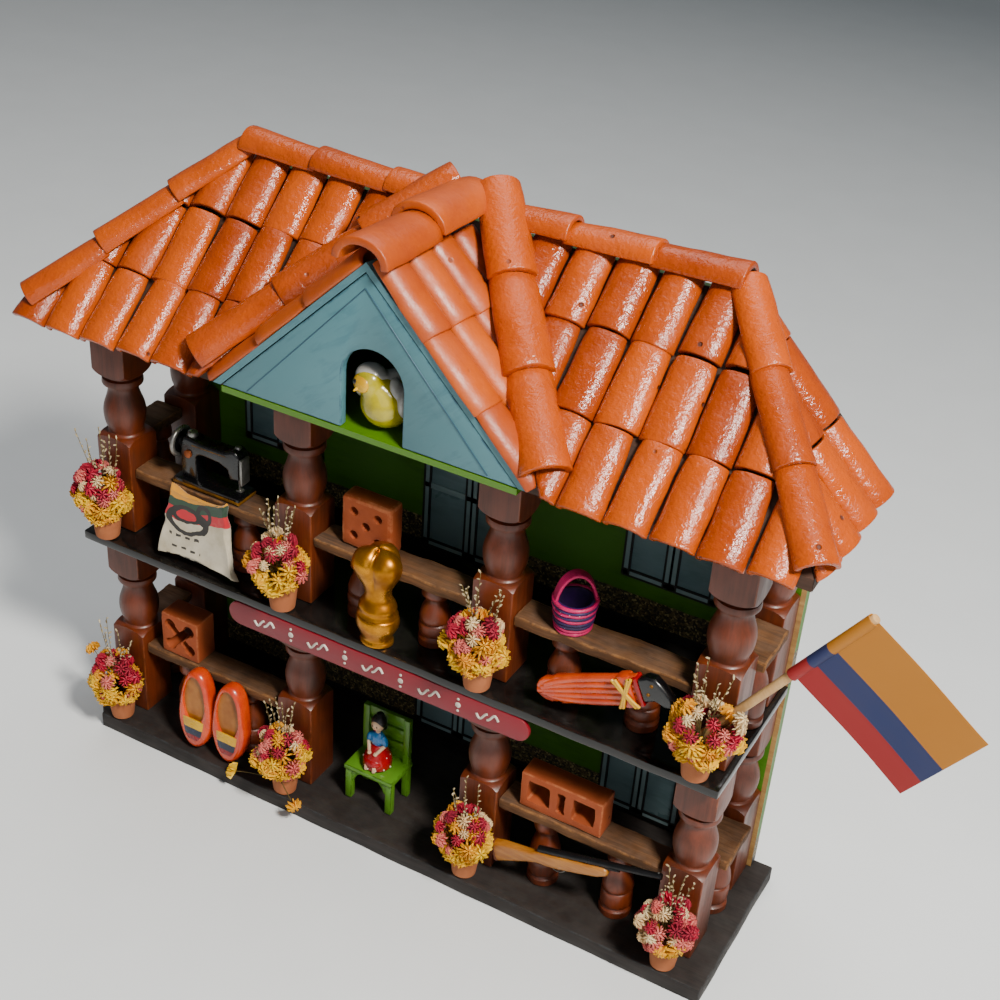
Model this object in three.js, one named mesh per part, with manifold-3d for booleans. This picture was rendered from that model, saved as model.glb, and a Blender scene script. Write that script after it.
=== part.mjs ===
// A painted wooden model of a two-storey country house: open galleries with turned columns,
// a hipped roof of half-round tiles, a cross gable with a bird in its niche, pots and trinkets.
// Millimetres. +X runs right along the front, +Y runs back, +Z is up.
// The origin is the centre of the base board's underside. While the house is built, Y is counted
// from the base's front edge, and the whole group is moved at the end.

import * as THREE from 'three';
import { ConvexGeometry } from 'three/addons/geometries/ConvexGeometry.js';
import { mergeVertices } from 'three/addons/utils/BufferGeometryUtils.js';
import Module from 'manifold-3d';

const wasm = await Module();
wasm.setup();

// ---- driving dimensions --------------------------------------------------------------------

const gap = 0.3;

const baseWidth = 250;
const baseDepth = 63;
const baseThickness = 6;

const wallWidth = 237;
const wallThickness = 4;

const deckSetback = 1.7;
const deckThickness = 3.2;
const atticThickness = 2;

const columnLength = 76.3;
const columnSide = 14;
const columnSpacing = 73.4;
const columnRowY = 17;
const columnTopBlock = 18;
const columnLowBlock = 35;
const columnBulgeRadius = 7.1;
const columnWaistRadius = 5.1;

const plankWidth = 10;
const plankThickness = 3.2;
const lowerRailHeight = 31;
const upperRailHeight = 25.5;
const sideRailHeight = 32;
const balusterRadius = 5.5;
const balusterSpacing = 27;
const sidePlankOverhang = 2.5;

const roofBoard = 3;
const eaveOverhangSide = 8;
const eaveY = 3.5;
const ridgeHalfLength = 87;
const roofRise = 46.5;

const gableCentre = -3.5;
const gableHalfWidth = 51;
const gableRise = 51;
const gableRidgeFall = 6.5;
const gableFrontY = -1;
const gableThickness = 3;
const nicheWidth = 21;
const nicheHeight = 29;
const nicheOffset = 2.7;

const tileWidth = 14;
const tileHeight = 4.6;
const tileLift = 1.5;
const tileOverhang = 3;
const courses = 3;
const capRadius = 6.2;
const capSkirt = 2;

const potTopRadius = 5.6;
const potFootRadius = 4.2;
const potHeight = 12;

const signWidth = 114;
const signHeight = 9;
const signThickness = 1.6;

const bouquetRadius = 9.2;
const bouquetHeight = 19;

const poleRadius = 1.5;
const poleLength = 76;
const poleLean = 34.5;
const poleFootX = 107.4;
const flagHoist = 32;
const flagFly = 43.5;
const flagThickness = 0.8;

// ---- levels and lines worked out from them -------------------------------------------------

const floorZ = baseThickness;
const deckZ = floorZ + columnLength + 2 * gap + deckThickness;
const atticZ = deckZ + columnLength + 2 * gap + atticThickness;
const wallFrontY = baseDepth - wallThickness;
const backColumnY = wallFrontY - gap - columnSide / 2;
const columnX = [-1.5, -0.5, 0.5, 1.5].map((step) => step * columnSpacing);
const columnFrontY = columnRowY - columnSide / 2;
const gableFoot = atticZ + gap;
const atticNeckHalf = gableHalfWidth - 4.5;
const eaveZ = atticZ + 1.1;
const eaveHalf = wallWidth / 2 + eaveOverhangSide + 6.5;
const ridgeY = baseDepth - capRadius;
const ridgeZ = eaveZ + roofRise;
const potY = columnFrontY - gap - potTopRadius;
const columnBlockHalf = columnSide / 2;
const lowerRailTop = floorZ + lowerRailHeight + gap;
const upperRailTop = deckZ + upperRailHeight + gap;

// ---- materials -----------------------------------------------------------------------------

function finish(color, roughness, metalness = 0) {
  return new THREE.MeshStandardMaterial({ color, roughness, metalness });
}

const darkStain = finish('#2a211c', 0.6);
const blackPaint = finish('#151313', 0.45);
const wallGreen = finish('#3f6414', 0.55);
const gableBlue = finish('#5f8c94', 0.6);
const bareBoard = finish('#8a6a45', 0.8);
const varnishedTile = finish('#d2642a', 0.3);
const redBrownVarnish = finish('#6b3422', 0.35);
const sandedPlank = finish('#6b4a30', 0.8);
const terracotta = finish('#c07850', 0.8);
const signRed = finish('#a01c2c', 0.45);
const birdYellow = finish('#c9c24a', 0.35);
const blackEnamel = finish('#0e0e10', 0.2);
const sackCloth = finish('#d8cdb6', 0.9);
const brickClay = finish('#b5603a', 0.75);
const goldPaint = finish('#b8862c', 0.3, 0.9);
const pinkCord = finish('#c01c64', 0.5);
const orangeEnamel = finish('#d9541e', 0.3);
const chairGreen = finish('#6fa03a', 0.4);
const dollBlue = finish('#1f78b0', 0.3);
const gunWood = finish('#b07a3a', 0.5);
const paleWood = finish('#d8b080', 0.7);
const flagPaper = finish('#c8922a', 0.7);

// ---- helpers -------------------------------------------------------------------------------

function solid(geometry) {
  const bare = geometry.clone();
  for (const key of Object.keys(bare.attributes)) {
    if (key !== 'position') bare.deleteAttribute(key);
  }
  const merged = mergeVertices(bare, 1e-4);
  const vertProperties = new Float32Array(merged.attributes.position.array);
  const triVerts = new Uint32Array(merged.index.array);
  return new wasm.Manifold(new wasm.Mesh({ numProp: 3, vertProperties, triVerts }));
}

function geometryOf(body) {
  const mesh = body.getMesh();
  const geometry = new THREE.BufferGeometry();
  geometry.setAttribute('position', new THREE.BufferAttribute(mesh.vertProperties.slice(), 3));
  geometry.setIndex(new THREE.BufferAttribute(mesh.triVerts.slice(), 1));
  geometry.computeVertexNormals();
  return geometry;
}

const joined = (bodies) => bodies.reduce((whole, next) => whole.add(next));

function box([x0, x1], [y0, y1], [z0, z1]) {
  const geometry = new THREE.BoxGeometry(x1 - x0, y1 - y0, z1 - z0);
  return geometry.translate((x0 + x1) / 2, (y0 + y1) / 2, (z0 + z1) / 2);
}

const boxSolid = (xs, ys, zs) => solid(box(xs, ys, zs));

// A Lathe profile of [radius, height] pairs, stood up along Z.
function turned(profile, segments = 12) {
  const points = profile.map(([radius, height]) => new THREE.Vector2(radius, height));
  return new THREE.LatheGeometry(points, segments).rotateX(Math.PI / 2);
}

// An outline in X and Z, pulled from the front face y0 to the back face y1.
function pulledBack(outline, y0, y1) {
  const points = outline instanceof THREE.Shape ? outline.getPoints(8) : outline;
  const shape = new THREE.Shape(points.map((point) => new THREE.Vector2(...point)));
  const geometry = new THREE.ExtrudeGeometry(shape, { depth: y1 - y0, bevelEnabled: false });
  return geometry.rotateX(Math.PI / 2).translate(0, y1, 0);
}

const hull = (points) => solid(new ConvexGeometry(points.map((p) => new THREE.Vector3(...p))));

function placed(geometry, position, rotation = [0, 0, 0]) {
  const turn = new THREE.Matrix4().makeRotationFromEuler(new THREE.Euler(...rotation));
  return geometry.applyMatrix4(turn).translate(...position);
}

const house = new THREE.Group();

function addPart(name, shape, material) {
  const geometry = shape.isBufferGeometry ? shape : geometryOf(shape);
  const mesh = new THREE.Mesh(geometry, material);
  mesh.name = name;
  house.add(mesh);
}

// ---- boards --------------------------------------------------------------------------------

const roofPitchFront = Math.atan2(roofRise, ridgeY - eaveY);
const roofPitchSide = Math.atan2(roofRise, eaveHalf - ridgeHalfLength);
const gablePitch = Math.atan2(gableRise, gableHalfWidth);

function addBaseAndDecks() {
  addPart('base_board', box([-baseWidth / 2, baseWidth / 2], [0, baseDepth], [0, baseThickness]), darkStain);
  const deckHalf = wallWidth / 2 + 0.4;
  const deckBack = wallFrontY - gap;
  const deckSpan = [deckZ - deckThickness, deckZ];
  addPart('balcony_deck', box([-deckHalf, deckHalf], [deckSetback, deckBack], deckSpan), blackPaint);
  const floorHalf = eaveHalf - 4;
  const zs = [atticZ - atticThickness, atticZ];
  const lipSpan = [gableCentre - gableHalfWidth, gableCentre + gableHalfWidth];
  const neckSpan = [gableCentre - atticNeckHalf, gableCentre + atticNeckHalf];
  const lip = boxSolid(lipSpan, [gableFrontY, eaveY - gap], zs);
  const neck = boxSolid(neckSpan, [gableFrontY, eaveY + 5], zs);
  const floor = boxSolid([-floorHalf, floorHalf], [eaveY + 4.5, deckBack], zs);
  addPart('attic_floor', joined([lip, neck, floor]), wallGreen);
}

// The wall follows the underside of the side slopes, and stands up between them as far as the ridge.
function addBackWall() {
  const drop = roofBoard / Math.cos(roofPitchSide) + 2 * gap;
  const half = wallWidth / 2;
  const topHalf = ridgeHalfLength - 2 * gap;
  const slopeAt = (x) => eaveZ + (eaveHalf - x) * Math.tan(roofPitchSide) - drop;
  const top = ridgeZ - capSkirt;
  const rightSide = [
    [half, floorZ + gap], [half, slopeAt(half)], [topHalf, slopeAt(ridgeHalfLength)], [topHalf, top],
  ];
  const leftSide = rightSide.map(([x, z]) => [-x, z]).reverse();
  addPart('back_wall', pulledBack([...rightSide, ...leftSide], wallFrontY, baseDepth), wallGreen);
}

// The niche is a doorway outline: straight sides under a half-round head.
function nicheOutline(centre, width, height, floor) {
  const arch = new THREE.Shape();
  arch.moveTo(centre - width / 2, floor);
  arch.lineTo(centre + width / 2, floor);
  arch.lineTo(centre + width / 2, floor + height - width / 2);
  arch.absarc(centre, floor + height - width / 2, width / 2, 0, Math.PI, false);
  arch.closePath();
  return arch;
}

function addGable() {
  const foot = atticZ + gap;
  const outline = [
    [gableCentre - gableHalfWidth, foot], [gableCentre + gableHalfWidth, foot], [gableCentre, foot + gableRise],
  ];
  const board = solid(pulledBack(outline, gableFrontY, gableFrontY + gableThickness));
  const opening = nicheOutline(gableCentre + nicheOffset, nicheWidth, nicheHeight, foot - 1);
  const niche = solid(pulledBack(opening, gableFrontY - 5, gableFrontY + 9));
  addPart('gable_board', board.subtract(niche), gableBlue);
}

// ---- roof boards ---------------------------------------------------------------------------

const hipFrontLeft = [-eaveHalf, eaveY, eaveZ];
const hipFrontRight = [eaveHalf, eaveY, eaveZ];
const ridgeLeft = [-ridgeHalfLength, ridgeY, ridgeZ];
const ridgeRight = [ridgeHalfLength, ridgeY, ridgeZ];

// A flat board under a slope, cut plumb all round: its outline on top, and the same points lowered.
function slopeBoard(outline, pitch) {
  const drop = roofBoard / Math.cos(pitch);
  return hull([...outline, ...outline.map(([x, y, z]) => [x, y, z - drop])]);
}

const seam = 2 * gap;
const frontOutline = [hipFrontLeft, hipFrontRight, ridgeRight, ridgeLeft];
const rightOutline = [
  [eaveHalf, eaveY + seam, eaveZ],
  [eaveHalf, baseDepth, eaveZ],
  [ridgeHalfLength, baseDepth, ridgeZ],
  [ridgeHalfLength, ridgeY + seam, ridgeZ],
];
const leftOutline = rightOutline.map(([x, y, z]) => [-x, y, z]);

// The wedge under the gable's roof: a triangle that shrinks towards the back, as its ridge falls.
const gableBack = ridgeY - 3;
const gableRidgeSlope = gableRidgeFall / (ridgeY - gableFrontY);
const gableApexAt = (y) => gableFoot + gableRise - gableRidgeSlope * (y - gableFrontY);

function gableWedge(grow, y0, y1) {
  const lift = grow / Math.cos(gablePitch);
  const section = (y) => {
    const apex = gableApexAt(y) + lift;
    const half = (apex - gableFoot) / Math.tan(gablePitch);
    return [[gableCentre - half, y, gableFoot], [gableCentre + half, y, gableFoot], [gableCentre, y, apex]];
  };
  return hull([...section(y0), ...section(y1)]);
}

function mainRoofVolume(grow) {
  const rise = grow / Math.cos(roofPitchSide);
  const corners = [hipFrontLeft, hipFrontRight, ridgeLeft, ridgeRight, ...rightOutline, ...leftOutline];
  const lifted = corners.map(([x, y, z]) => [x, y, z + rise]);
  const feet = corners.map(([x, y]) => [x, y, eaveZ - 20]);
  return hull([...lifted, ...feet]);
}

const dormerBoard = 2;

function addRoofBoards() {
  const lintel = boxSolid([-ridgeHalfLength, ridgeHalfLength], [0, baseDepth], [ridgeZ - 8, ridgeZ + 20]);
  const doorway = boxSolid(
    [gableCentre - atticNeckHalf - gap, gableCentre + atticNeckHalf + gap],
    [eaveY - 1, eaveY + 10],
    [atticZ - atticThickness - 3, gableFoot + gap],
  );
  const mouth = gableWedge(-gap, eaveY - 5, gableBack).subtract(lintel).add(doorway);
  addPart('roof_board_front', slopeBoard(frontOutline, roofPitchFront).subtract(mouth), bareBoard);
  addPart('roof_board_right', slopeBoard(rightOutline, roofPitchSide), bareBoard);
  addPart('roof_board_left', slopeBoard(leftOutline, roofPitchSide), bareBoard);
  const outer = gableWedge(dormerBoard + gap, gableFrontY, gableBack);
  const inner = gableWedge(gap, gableFrontY - 1, gableBack + 1);
  addPart('dormer_boards', outer.subtract(inner).subtract(mainRoofVolume(gap)), bareBoard);
}

// ---- tiles ---------------------------------------------------------------------------------

// One course of half-round tiles side by side: a scalloped slab, its tiles running along Y.
function tileCourse(start, count, length) {
  const sheet = 0.8;
  const arcSteps = 4;
  const shape = new THREE.Shape();
  shape.moveTo(start, 0);
  shape.lineTo(start + count * tileWidth, 0);
  for (let i = count - 1; i >= 0; i -= 1) {
    for (let step = 0; step <= arcSteps; step += 1) {
      const angle = (Math.PI * step) / arcSteps;
      const across = start + (i + 0.5) * tileWidth + Math.cos(angle) * tileWidth * 0.48;
      shape.lineTo(across, sheet + Math.sin(angle) * (tileHeight - sheet));
    }
  }
  shape.closePath();
  return solid(pulledBack(shape, 0, length).rotateX(-Math.atan2(tileLift, length)));
}

// A field of tiles on a slope, in three courses, each lapping the one below. Its two sides are
// lines from the eave to the ridge, given by two points each and set in by a distance. Where the
// lines cross above the eave, the field starts at their crossing.
function tileField(slope, leftLine, rightLine, [leftInset, rightInset], [eave, top]) {
  const u = new THREE.Vector3(...slope.across).normalize();
  const w = new THREE.Vector3(...slope.across).cross(new THREE.Vector3(...slope.uphill)).normalize();
  const v = new THREE.Vector3().crossVectors(w, u);
  const origin = new THREE.Vector3(...slope.origin);
  const flat = (p) => {
    const offset = new THREE.Vector3(...p).sub(origin);
    return [offset.dot(u), offset.dot(v)];
  };
  const side = ([p, q], inset) => {
    const [[a, b], [c, d]] = [flat(p), flat(q)];
    const lean = (c - a) / (d - b);
    return (height) => a + (height - b) * lean + inset * Math.hypot(1, lean);
  };
  const left = side(leftLine, leftInset);
  const right = side(rightLine, -rightInset);
  const widthAt = (height) => right(height) - left(height);
  const widening = (widthAt(top) - widthAt(eave)) / (top - eave);
  const low = widthAt(eave) > 1 ? eave : eave + (1 - widthAt(eave)) / widening;
  const outline = [[left(low), low], [right(low), low], [right(top), top], [left(top), top]];
  const leftmost = Math.min(left(low), left(top));
  const rightmost = Math.max(right(low), right(top));
  const count = Math.ceil((rightmost - leftmost) / tileWidth);
  const step = (top - low) / courses;
  const rows = [];
  for (let row = 0; row < courses; row += 1) {
    rows.push(tileCourse(leftmost, count, step + 2).translate([0, low + row * step, tileLift + gap]));
  }
  const shape = new THREE.Shape(outline.map(([a, b]) => new THREE.Vector2(a, b)));
  const cutter = solid(new THREE.ExtrudeGeometry(shape, { depth: 20, bevelEnabled: false }));
  const onSlope = new THREE.Matrix4().makeBasis(u, v, w).setPosition(origin);
  return joined(rows).intersect(cutter).transform(onSlope.elements);
}

// Tiles stop short of the lines that cap tiles straddle, further on the steeper dormer.
const inset = capRadius * 1.35;
const dormerInset = capRadius * 1.75;
const frontLength = Math.hypot(roofRise, ridgeY - eaveY);
const sideLength = Math.hypot(roofRise, eaveHalf - ridgeHalfLength);

// Where the gable's roof meets the front slope, low at the eave and high by the ridge.
function valleyLine(sign) {
  const lift = (dormerBoard + gap) / Math.cos(gablePitch);
  const low = (gableApexAt(eaveY) + lift - eaveZ) / Math.tan(gablePitch);
  const high = (gableApexAt(ridgeY) + lift - ridgeZ) / Math.tan(gablePitch);
  return [[gableCentre + sign * low, eaveY, eaveZ], [gableCentre + sign * high, ridgeY, ridgeZ]];
}

function addTileFields() {
  const front = { origin: hipFrontLeft, across: [1, 0, 0], uphill: [0, ridgeY - eaveY, roofRise] };
  const frontReach = [-tileOverhang, frontLength - inset];
  const leftHip = [hipFrontLeft, ridgeLeft];
  const rightHip = [hipFrontRight, ridgeRight];
  const frontLeft = tileField(front, leftHip, valleyLine(-1), [inset, inset], frontReach);
  const frontRight = tileField(front, valleyLine(1), rightHip, [inset, inset], frontReach);
  addPart('tiles_front_left', frontLeft, varnishedTile);
  addPart('tiles_front_right', frontRight, varnishedTile);

  const sideReach = [-tileOverhang, sideLength - inset];
  const run = eaveHalf - ridgeHalfLength;
  const [, backRight, backRidge] = rightOutline;
  const right = { origin: hipFrontRight, across: [0, 1, 0], uphill: [-run, 0, roofRise] };
  const endRight = tileField(right, rightHip, [backRight, backRidge], [inset, 0], sideReach);
  addPart('tiles_right', endRight, varnishedTile);
  const mirrored = ([x, y, z]) => [-x, y, z];
  const left = { origin: mirrored(backRight), across: [0, -1, 0], uphill: [run, 0, roofRise] };
  const backLine = [mirrored(backRight), mirrored(backRidge)];
  addPart('tiles_left', tileField(left, backLine, leftHip, [0, inset], sideReach), varnishedTile);
}

function addDormerTiles() {
  const overhang = 2.5;
  const fall = gableRidgeFall / (ridgeY - gableFrontY);
  const lift = (dormerBoard + gap) / Math.cos(gablePitch);
  const fields = [1, -1].map((sign) => {
    const footAt = (y) => gableCentre + (sign * (gableApexAt(y) + lift - eaveZ)) / Math.tan(gablePitch);
    const frontEdge = [
      [footAt(gableFrontY - overhang), gableFrontY - overhang, eaveZ],
      [gableCentre, gableFrontY - overhang, gableApexAt(gableFrontY - overhang) + lift],
    ];
    const slope = {
      origin: frontEdge[0],
      across: [0, sign, -sign * fall],
      uphill: [-sign * Math.cos(gablePitch), 0, Math.sin(gablePitch)],
    };
    const reach = [4, (gableApexAt(gableFrontY) + lift - eaveZ) / Math.sin(gablePitch) - dormerInset];
    const lines = sign > 0 ? [frontEdge, valleyLine(1)] : [valleyLine(-1), frontEdge];
    return tileField(slope, ...lines, sign > 0 ? [0, dormerInset] : [dormerInset, 0], reach);
  });
  const under = dormerBoard + 2 * gap;
  const saddleBack = gableBack - 20;
  const hollow = gableWedge(under, gableFrontY - 1, gableBack);
  const saddle = gableWedge(under + 1, gableFrontY, saddleBack).subtract(hollow);
  const crownSpan = [gableCentre - dormerInset, gableCentre + dormerInset];
  const crown = boxSolid(crownSpan, [gableFrontY, saddleBack], [ridgeZ - 12, ridgeZ + 30]);
  addPart('dormer_tiles', joined([...fields, saddle.intersect(crown)]), varnishedTile);
}

// A run of half-round cap tiles from a low end to a high end, each lapping the one below.
function capRun(lowEnd, highEnd, count, rise) {
  const low = new THREE.Vector3(...lowEnd);
  const high = new THREE.Vector3(...highEnd);
  const along = high.clone().sub(low).normalize();
  const side = new THREE.Vector3(0, 0, 1).cross(along).normalize();
  const up = new THREE.Vector3().crossVectors(along, side);
  const step = high.distanceTo(low) / count;
  const shape = new THREE.Shape();
  shape.moveTo(-capRadius, -capSkirt);
  shape.lineTo(capRadius, -capSkirt);
  shape.absarc(0, 0, capRadius, 0, Math.PI, false);
  shape.closePath();
  const caps = [];
  for (let i = 0; i < count; i += 1) {
    const options = { depth: step + 1, bevelEnabled: false, curveSegments: 8 };
    const geometry = new THREE.ExtrudeGeometry(shape, options);
    geometry.rotateX(Math.atan2(tileLift / 2, step));
    const foot = low.clone().addScaledVector(along, i * step).addScaledVector(up, rise);
    caps.push(solid(geometry.applyMatrix4(new THREE.Matrix4().makeBasis(side, up, along).setPosition(foot))));
  }
  return joined(caps);
}

function addRoofCaps() {
  const rise = 1.4;
  const runs = [
    capRun(ridgeLeft, ridgeRight, 6, rise),
    capRun(hipFrontLeft, ridgeLeft, 3, rise),
    capRun(hipFrontRight, ridgeRight, 3, rise),
  ];
  const crownAt = (y) => gableApexAt(y) + (dormerBoard + gap) / Math.cos(gablePitch);
  const frontEnd = gableFrontY - 4;
  const backEnd = ridgeY - 2;
  const [front, back] = [frontEnd, backEnd].map((y) => [gableCentre, y, crownAt(y)]);
  runs.push(capRun(front, back, 2, 0.4));
  for (const sign of [-1, 1]) {
    const [low, high] = valleyLine(sign);
    runs.push(capRun(low, [high[0], high[1] - 4, high[2] - 3], 3, tileHeight));
  }
  const under = gableWedge(dormerBoard + 3 * gap + 1, gableFrontY - 10, gableBack);
  const trimmed = joined(runs).subtract(mainRoofVolume(2 * gap)).subtract(under);
  addPart('roof_caps', trimmed, varnishedTile);
}

// ---- columns and rails ---------------------------------------------------------------------

function columnShape(x, y, foot) {
  const shoulder = columnLowBlock;
  const head = columnLength - columnTopBlock;
  const neck = [
    [0, shoulder - 2], [6.9, shoulder - 2], [6.2, shoulder + 1.5], [5.7, shoulder + 3.5],
    [columnBulgeRadius, shoulder + 9], [6.2, shoulder + 12.5],
    [columnWaistRadius, shoulder + 16.5], [5.6, head - 4.6],
    [columnSide / 2 - 0.2, head - 3.6], [columnSide / 2 - 0.2, head - 1.2],
    [5.9, head + 0.5], [0, head + 0.5],
  ];
  const across = [x - columnBlockHalf, x + columnBlockHalf];
  const deep = [y - columnBlockHalf, y + columnBlockHalf];
  return joined([
    boxSolid(across, deep, [foot, foot + shoulder]),
    solid(turned(neck).translate(x, y, foot)),
    boxSolid(across, deep, [foot + head, foot + columnLength]),
  ]);
}

function addColumns() {
  const levels = { lower: floorZ + gap, upper: deckZ + gap };
  for (const [level, foot] of Object.entries(levels)) {
    columnX.forEach((x, i) => {
      addPart(`${level}_column_${i + 1}`, columnShape(x, columnRowY, foot), redBrownVarnish);
    });
    addPart(`${level}_back_column_left`, columnShape(columnX[0], backColumnY, foot), redBrownVarnish);
    addPart(`${level}_back_column_right`, columnShape(columnX[3], backColumnY, foot), redBrownVarnish);
  }
}

function balusterShape(x, y, foot, height) {
  const profile = [
    [0, 0], [balusterRadius, 0], [balusterRadius, 2.4], [balusterRadius * 0.88, 3.4],
    [balusterRadius, 4.6], [balusterRadius * 0.98, height * 0.48], [balusterRadius * 0.58, height * 0.76],
    [balusterRadius * 0.85, height * 0.86], [balusterRadius * 0.8, height + 0.2], [0, height + 0.2],
  ];
  return solid(turned(profile, 10).translate(x, y, foot));
}

// A plank on turned balusters, between the blocks of two columns along the front.
function frontRail(bay, foot, height, [plankFront, plankBack], inner = balusterSpacing / 2) {
  const left = columnX[bay] + columnBlockHalf + gap;
  const right = columnX[bay + 1] - columnBlockHalf - gap;
  const middle = (left + right) / 2;
  const under = height - plankThickness;
  return joined([
    boxSolid([left, right], [plankFront, plankBack], [foot + under, foot + height]),
    balusterShape(middle - inner, columnRowY, foot + gap, under - gap),
    balusterShape(middle + inner, columnRowY, foot + gap, under - gap),
  ]);
}

function sideRail(sign, foot) {
  const outer = columnX[3] + columnBlockHalf + sidePlankOverhang;
  const xs = [outer - plankWidth, outer].map((x) => sign * x).sort((a, b) => a - b);
  const ys = [columnRowY + columnBlockHalf + gap, backColumnY - columnBlockHalf - gap];
  const under = sideRailHeight - plankThickness;
  return joined([
    boxSolid(xs, ys, [foot + under, foot + sideRailHeight]),
    balusterShape(sign * (outer - plankWidth / 2 - 1), (ys[0] + ys[1]) / 2 + 2, foot + gap, under - gap),
  ]);
}

const plankSpan = [columnRowY - plankWidth / 2, columnRowY + plankWidth / 2];
const notchedSpan = [columnRowY - 4, columnRowY + 4.5];

function addRails() {
  addPart('lower_rail_front_left', frontRail(0, floorZ, lowerRailHeight, plankSpan), sandedPlank);
  addPart('lower_rail_front_right', frontRail(2, floorZ, lowerRailHeight, plankSpan), sandedPlank);
  addPart('upper_rail_front_left', frontRail(0, deckZ, upperRailHeight, plankSpan), sandedPlank);
  addPart('upper_rail_front_middle', frontRail(1, deckZ, upperRailHeight, notchedSpan), sandedPlank);
  addPart('upper_rail_front_right', frontRail(2, deckZ, upperRailHeight, plankSpan), sandedPlank);
  for (const [side, sign] of [['left', -1], ['right', 1]]) {
    addPart(`lower_rail_side_${side}`, sideRail(sign, floorZ), sandedPlank);
    addPart(`upper_rail_side_${side}`, sideRail(sign, deckZ), sandedPlank);
  }
}

// ---- sign and flower pots ------------------------------------------------------------------

function addSign() {
  const top = deckZ - deckThickness - gap;
  const end = signHeight / 2;
  const shape = new THREE.Shape();
  shape.moveTo(-signWidth / 2 + end, top - signHeight);
  shape.lineTo(signWidth / 2 - end, top - signHeight);
  shape.absarc(signWidth / 2 - end, top - end, end, -Math.PI / 2, Math.PI / 2, false);
  shape.lineTo(-signWidth / 2 + end, top);
  shape.absarc(-signWidth / 2 + end, top - end, end, Math.PI / 2, (3 * Math.PI) / 2, false);
  addPart('sign_board', pulledBack(shape, deckSetback, deckSetback + signThickness), signRed);
}

// A pot filled with dried flowers, their heads held clear of the column behind them.
function pottedFlowers(x, foot) {
  const pot = [
    [0, 0], [potFootRadius, 0], [potTopRadius - 0.4, potHeight - 2.2], [potTopRadius, potHeight - 2.2],
    [potTopRadius, potHeight], [0, potHeight],
  ];
  const bloom = new THREE.SphereGeometry(1, 10, 6).rotateX(Math.PI / 2);
  bloom.scale(bouquetRadius, bouquetRadius - 0.4, bouquetHeight / 2);
  const bloomY = columnFrontY - gap - bouquetRadius;
  bloom.translate(x, bloomY, foot + potHeight - 1.5 + bouquetHeight / 2);
  return joined([solid(turned(pot, 14).translate(x, potY, foot)), solid(bloom)]);
}

const poleFoot = [poleFootX, potY + 2, deckZ + potHeight - 1.2];
const poleTurn = [0, THREE.MathUtils.degToRad(poleLean), 0];

function addPots() {
  columnX.forEach((x, i) => {
    addPart(`lower_flower_pot_${i + 1}`, pottedFlowers(x, floorZ + gap), terracotta);
    const upper = pottedFlowers(x, deckZ + gap);
    const socketRadius = poleRadius + gap;
    const socket = new THREE.CylinderGeometry(socketRadius, socketRadius, 60, 12);
    socket.rotateX(Math.PI / 2).translate(0, 0, 30 - gap);
    const holdsFlag = i === columnX.length - 1;
    const shape = holdsFlag ? upper.subtract(solid(placed(socket, poleFoot, poleTurn))) : upper;
    addPart(`upper_flower_pot_${i + 1}`, shape, terracotta);
  });
}

// ---- flag ----------------------------------------------------------------------------------

// The paper is glued round the stick as a sleeve, so it can turn on it.
function addFlag() {
  const pole = new THREE.CylinderGeometry(poleRadius, poleRadius, poleLength, 12).rotateX(Math.PI / 2);
  addPart('flag_pole', placed(pole.translate(0, 0, poleLength / 2), poleFoot, poleTurn), paleWood);
  const low = poleLength - flagHoist - 1;
  const sleeveRadius = poleRadius + gap + flagThickness;
  const upright = (radius, length) => {
    return solid(new THREE.CylinderGeometry(radius, radius, length, 12).rotateX(Math.PI / 2));
  };
  const sleeve = upright(sleeveRadius, flagHoist);
  const bore = upright(poleRadius + gap, flagHoist + 2);
  const middle = low + flagHoist / 2;
  const sheetDepth = [-flagThickness / 2, flagThickness / 2];
  const sheet = boxSolid([poleRadius + gap + 0.2, flagFly], sheetDepth, [low, low + flagHoist]);
  const paper = joined([sheet, sleeve.translate([0, 0, middle])]).subtract(bore.translate([0, 0, middle]));
  addPart('flag', placed(geometryOf(paper), poleFoot, poleTurn), flagPaper);
}

// ---- trinkets ------------------------------------------------------------------------------

const bayX = [-columnSpacing, 0, columnSpacing];

function ball(centre, [rx, ry, rz], segments = 10) {
  const geometry = new THREE.SphereGeometry(1, segments, Math.ceil(segments * 0.6)).rotateX(Math.PI / 2);
  return solid(geometry.scale(rx, ry, rz).translate(...centre));
}

function addBird() {
  const x = gableCentre + nicheOffset;
  const y = gableFrontY + gableThickness + 5;
  const foot = atticZ + gap;
  addPart('bird', joined([
    ball([x, y, foot + 8], [7.8, 8.4, 8]),
    ball([x - 3.4, y - 3.6, foot + 15.4], [4.6, 4.6, 4.4]),
    ball([x + 3, y + 6.5, foot + 11], [3.2, 7, 2.6]),
  ]), birdYellow);
}

function addSewingMachine() {
  const [x, y, z] = [bayX[0], columnRowY, upperRailTop];
  const arm = [
    [-11.5, 1.5], [-11.5, 18], [6, 19], [12.5, 19.8], [12.5, 7],
    [7, 7], [6.5, 12.5], [-5.5, 12.5], [-6.5, 1.5],
  ];
  const wheel = new THREE.CylinderGeometry(4.8, 4.8, 3, 14);
  wheel.rotateZ(Math.PI / 2).translate(x - 12.8, y, z + 14);
  addPart('sewing_machine', joined([
    boxSolid([x - 13.5, x + 13.5], [y - 4.7, y + 4.7], [z, z + 2.4]),
    solid(pulledBack(arm.map(([a, b]) => [x + a, z + b]), y - 3, y + 3)),
    solid(wheel),
    boxSolid([x + 9, x + 10.6], [y - 0.8, y + 0.8], [z + 4.2, z + 7.5]),
  ]), blackEnamel);
}

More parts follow.
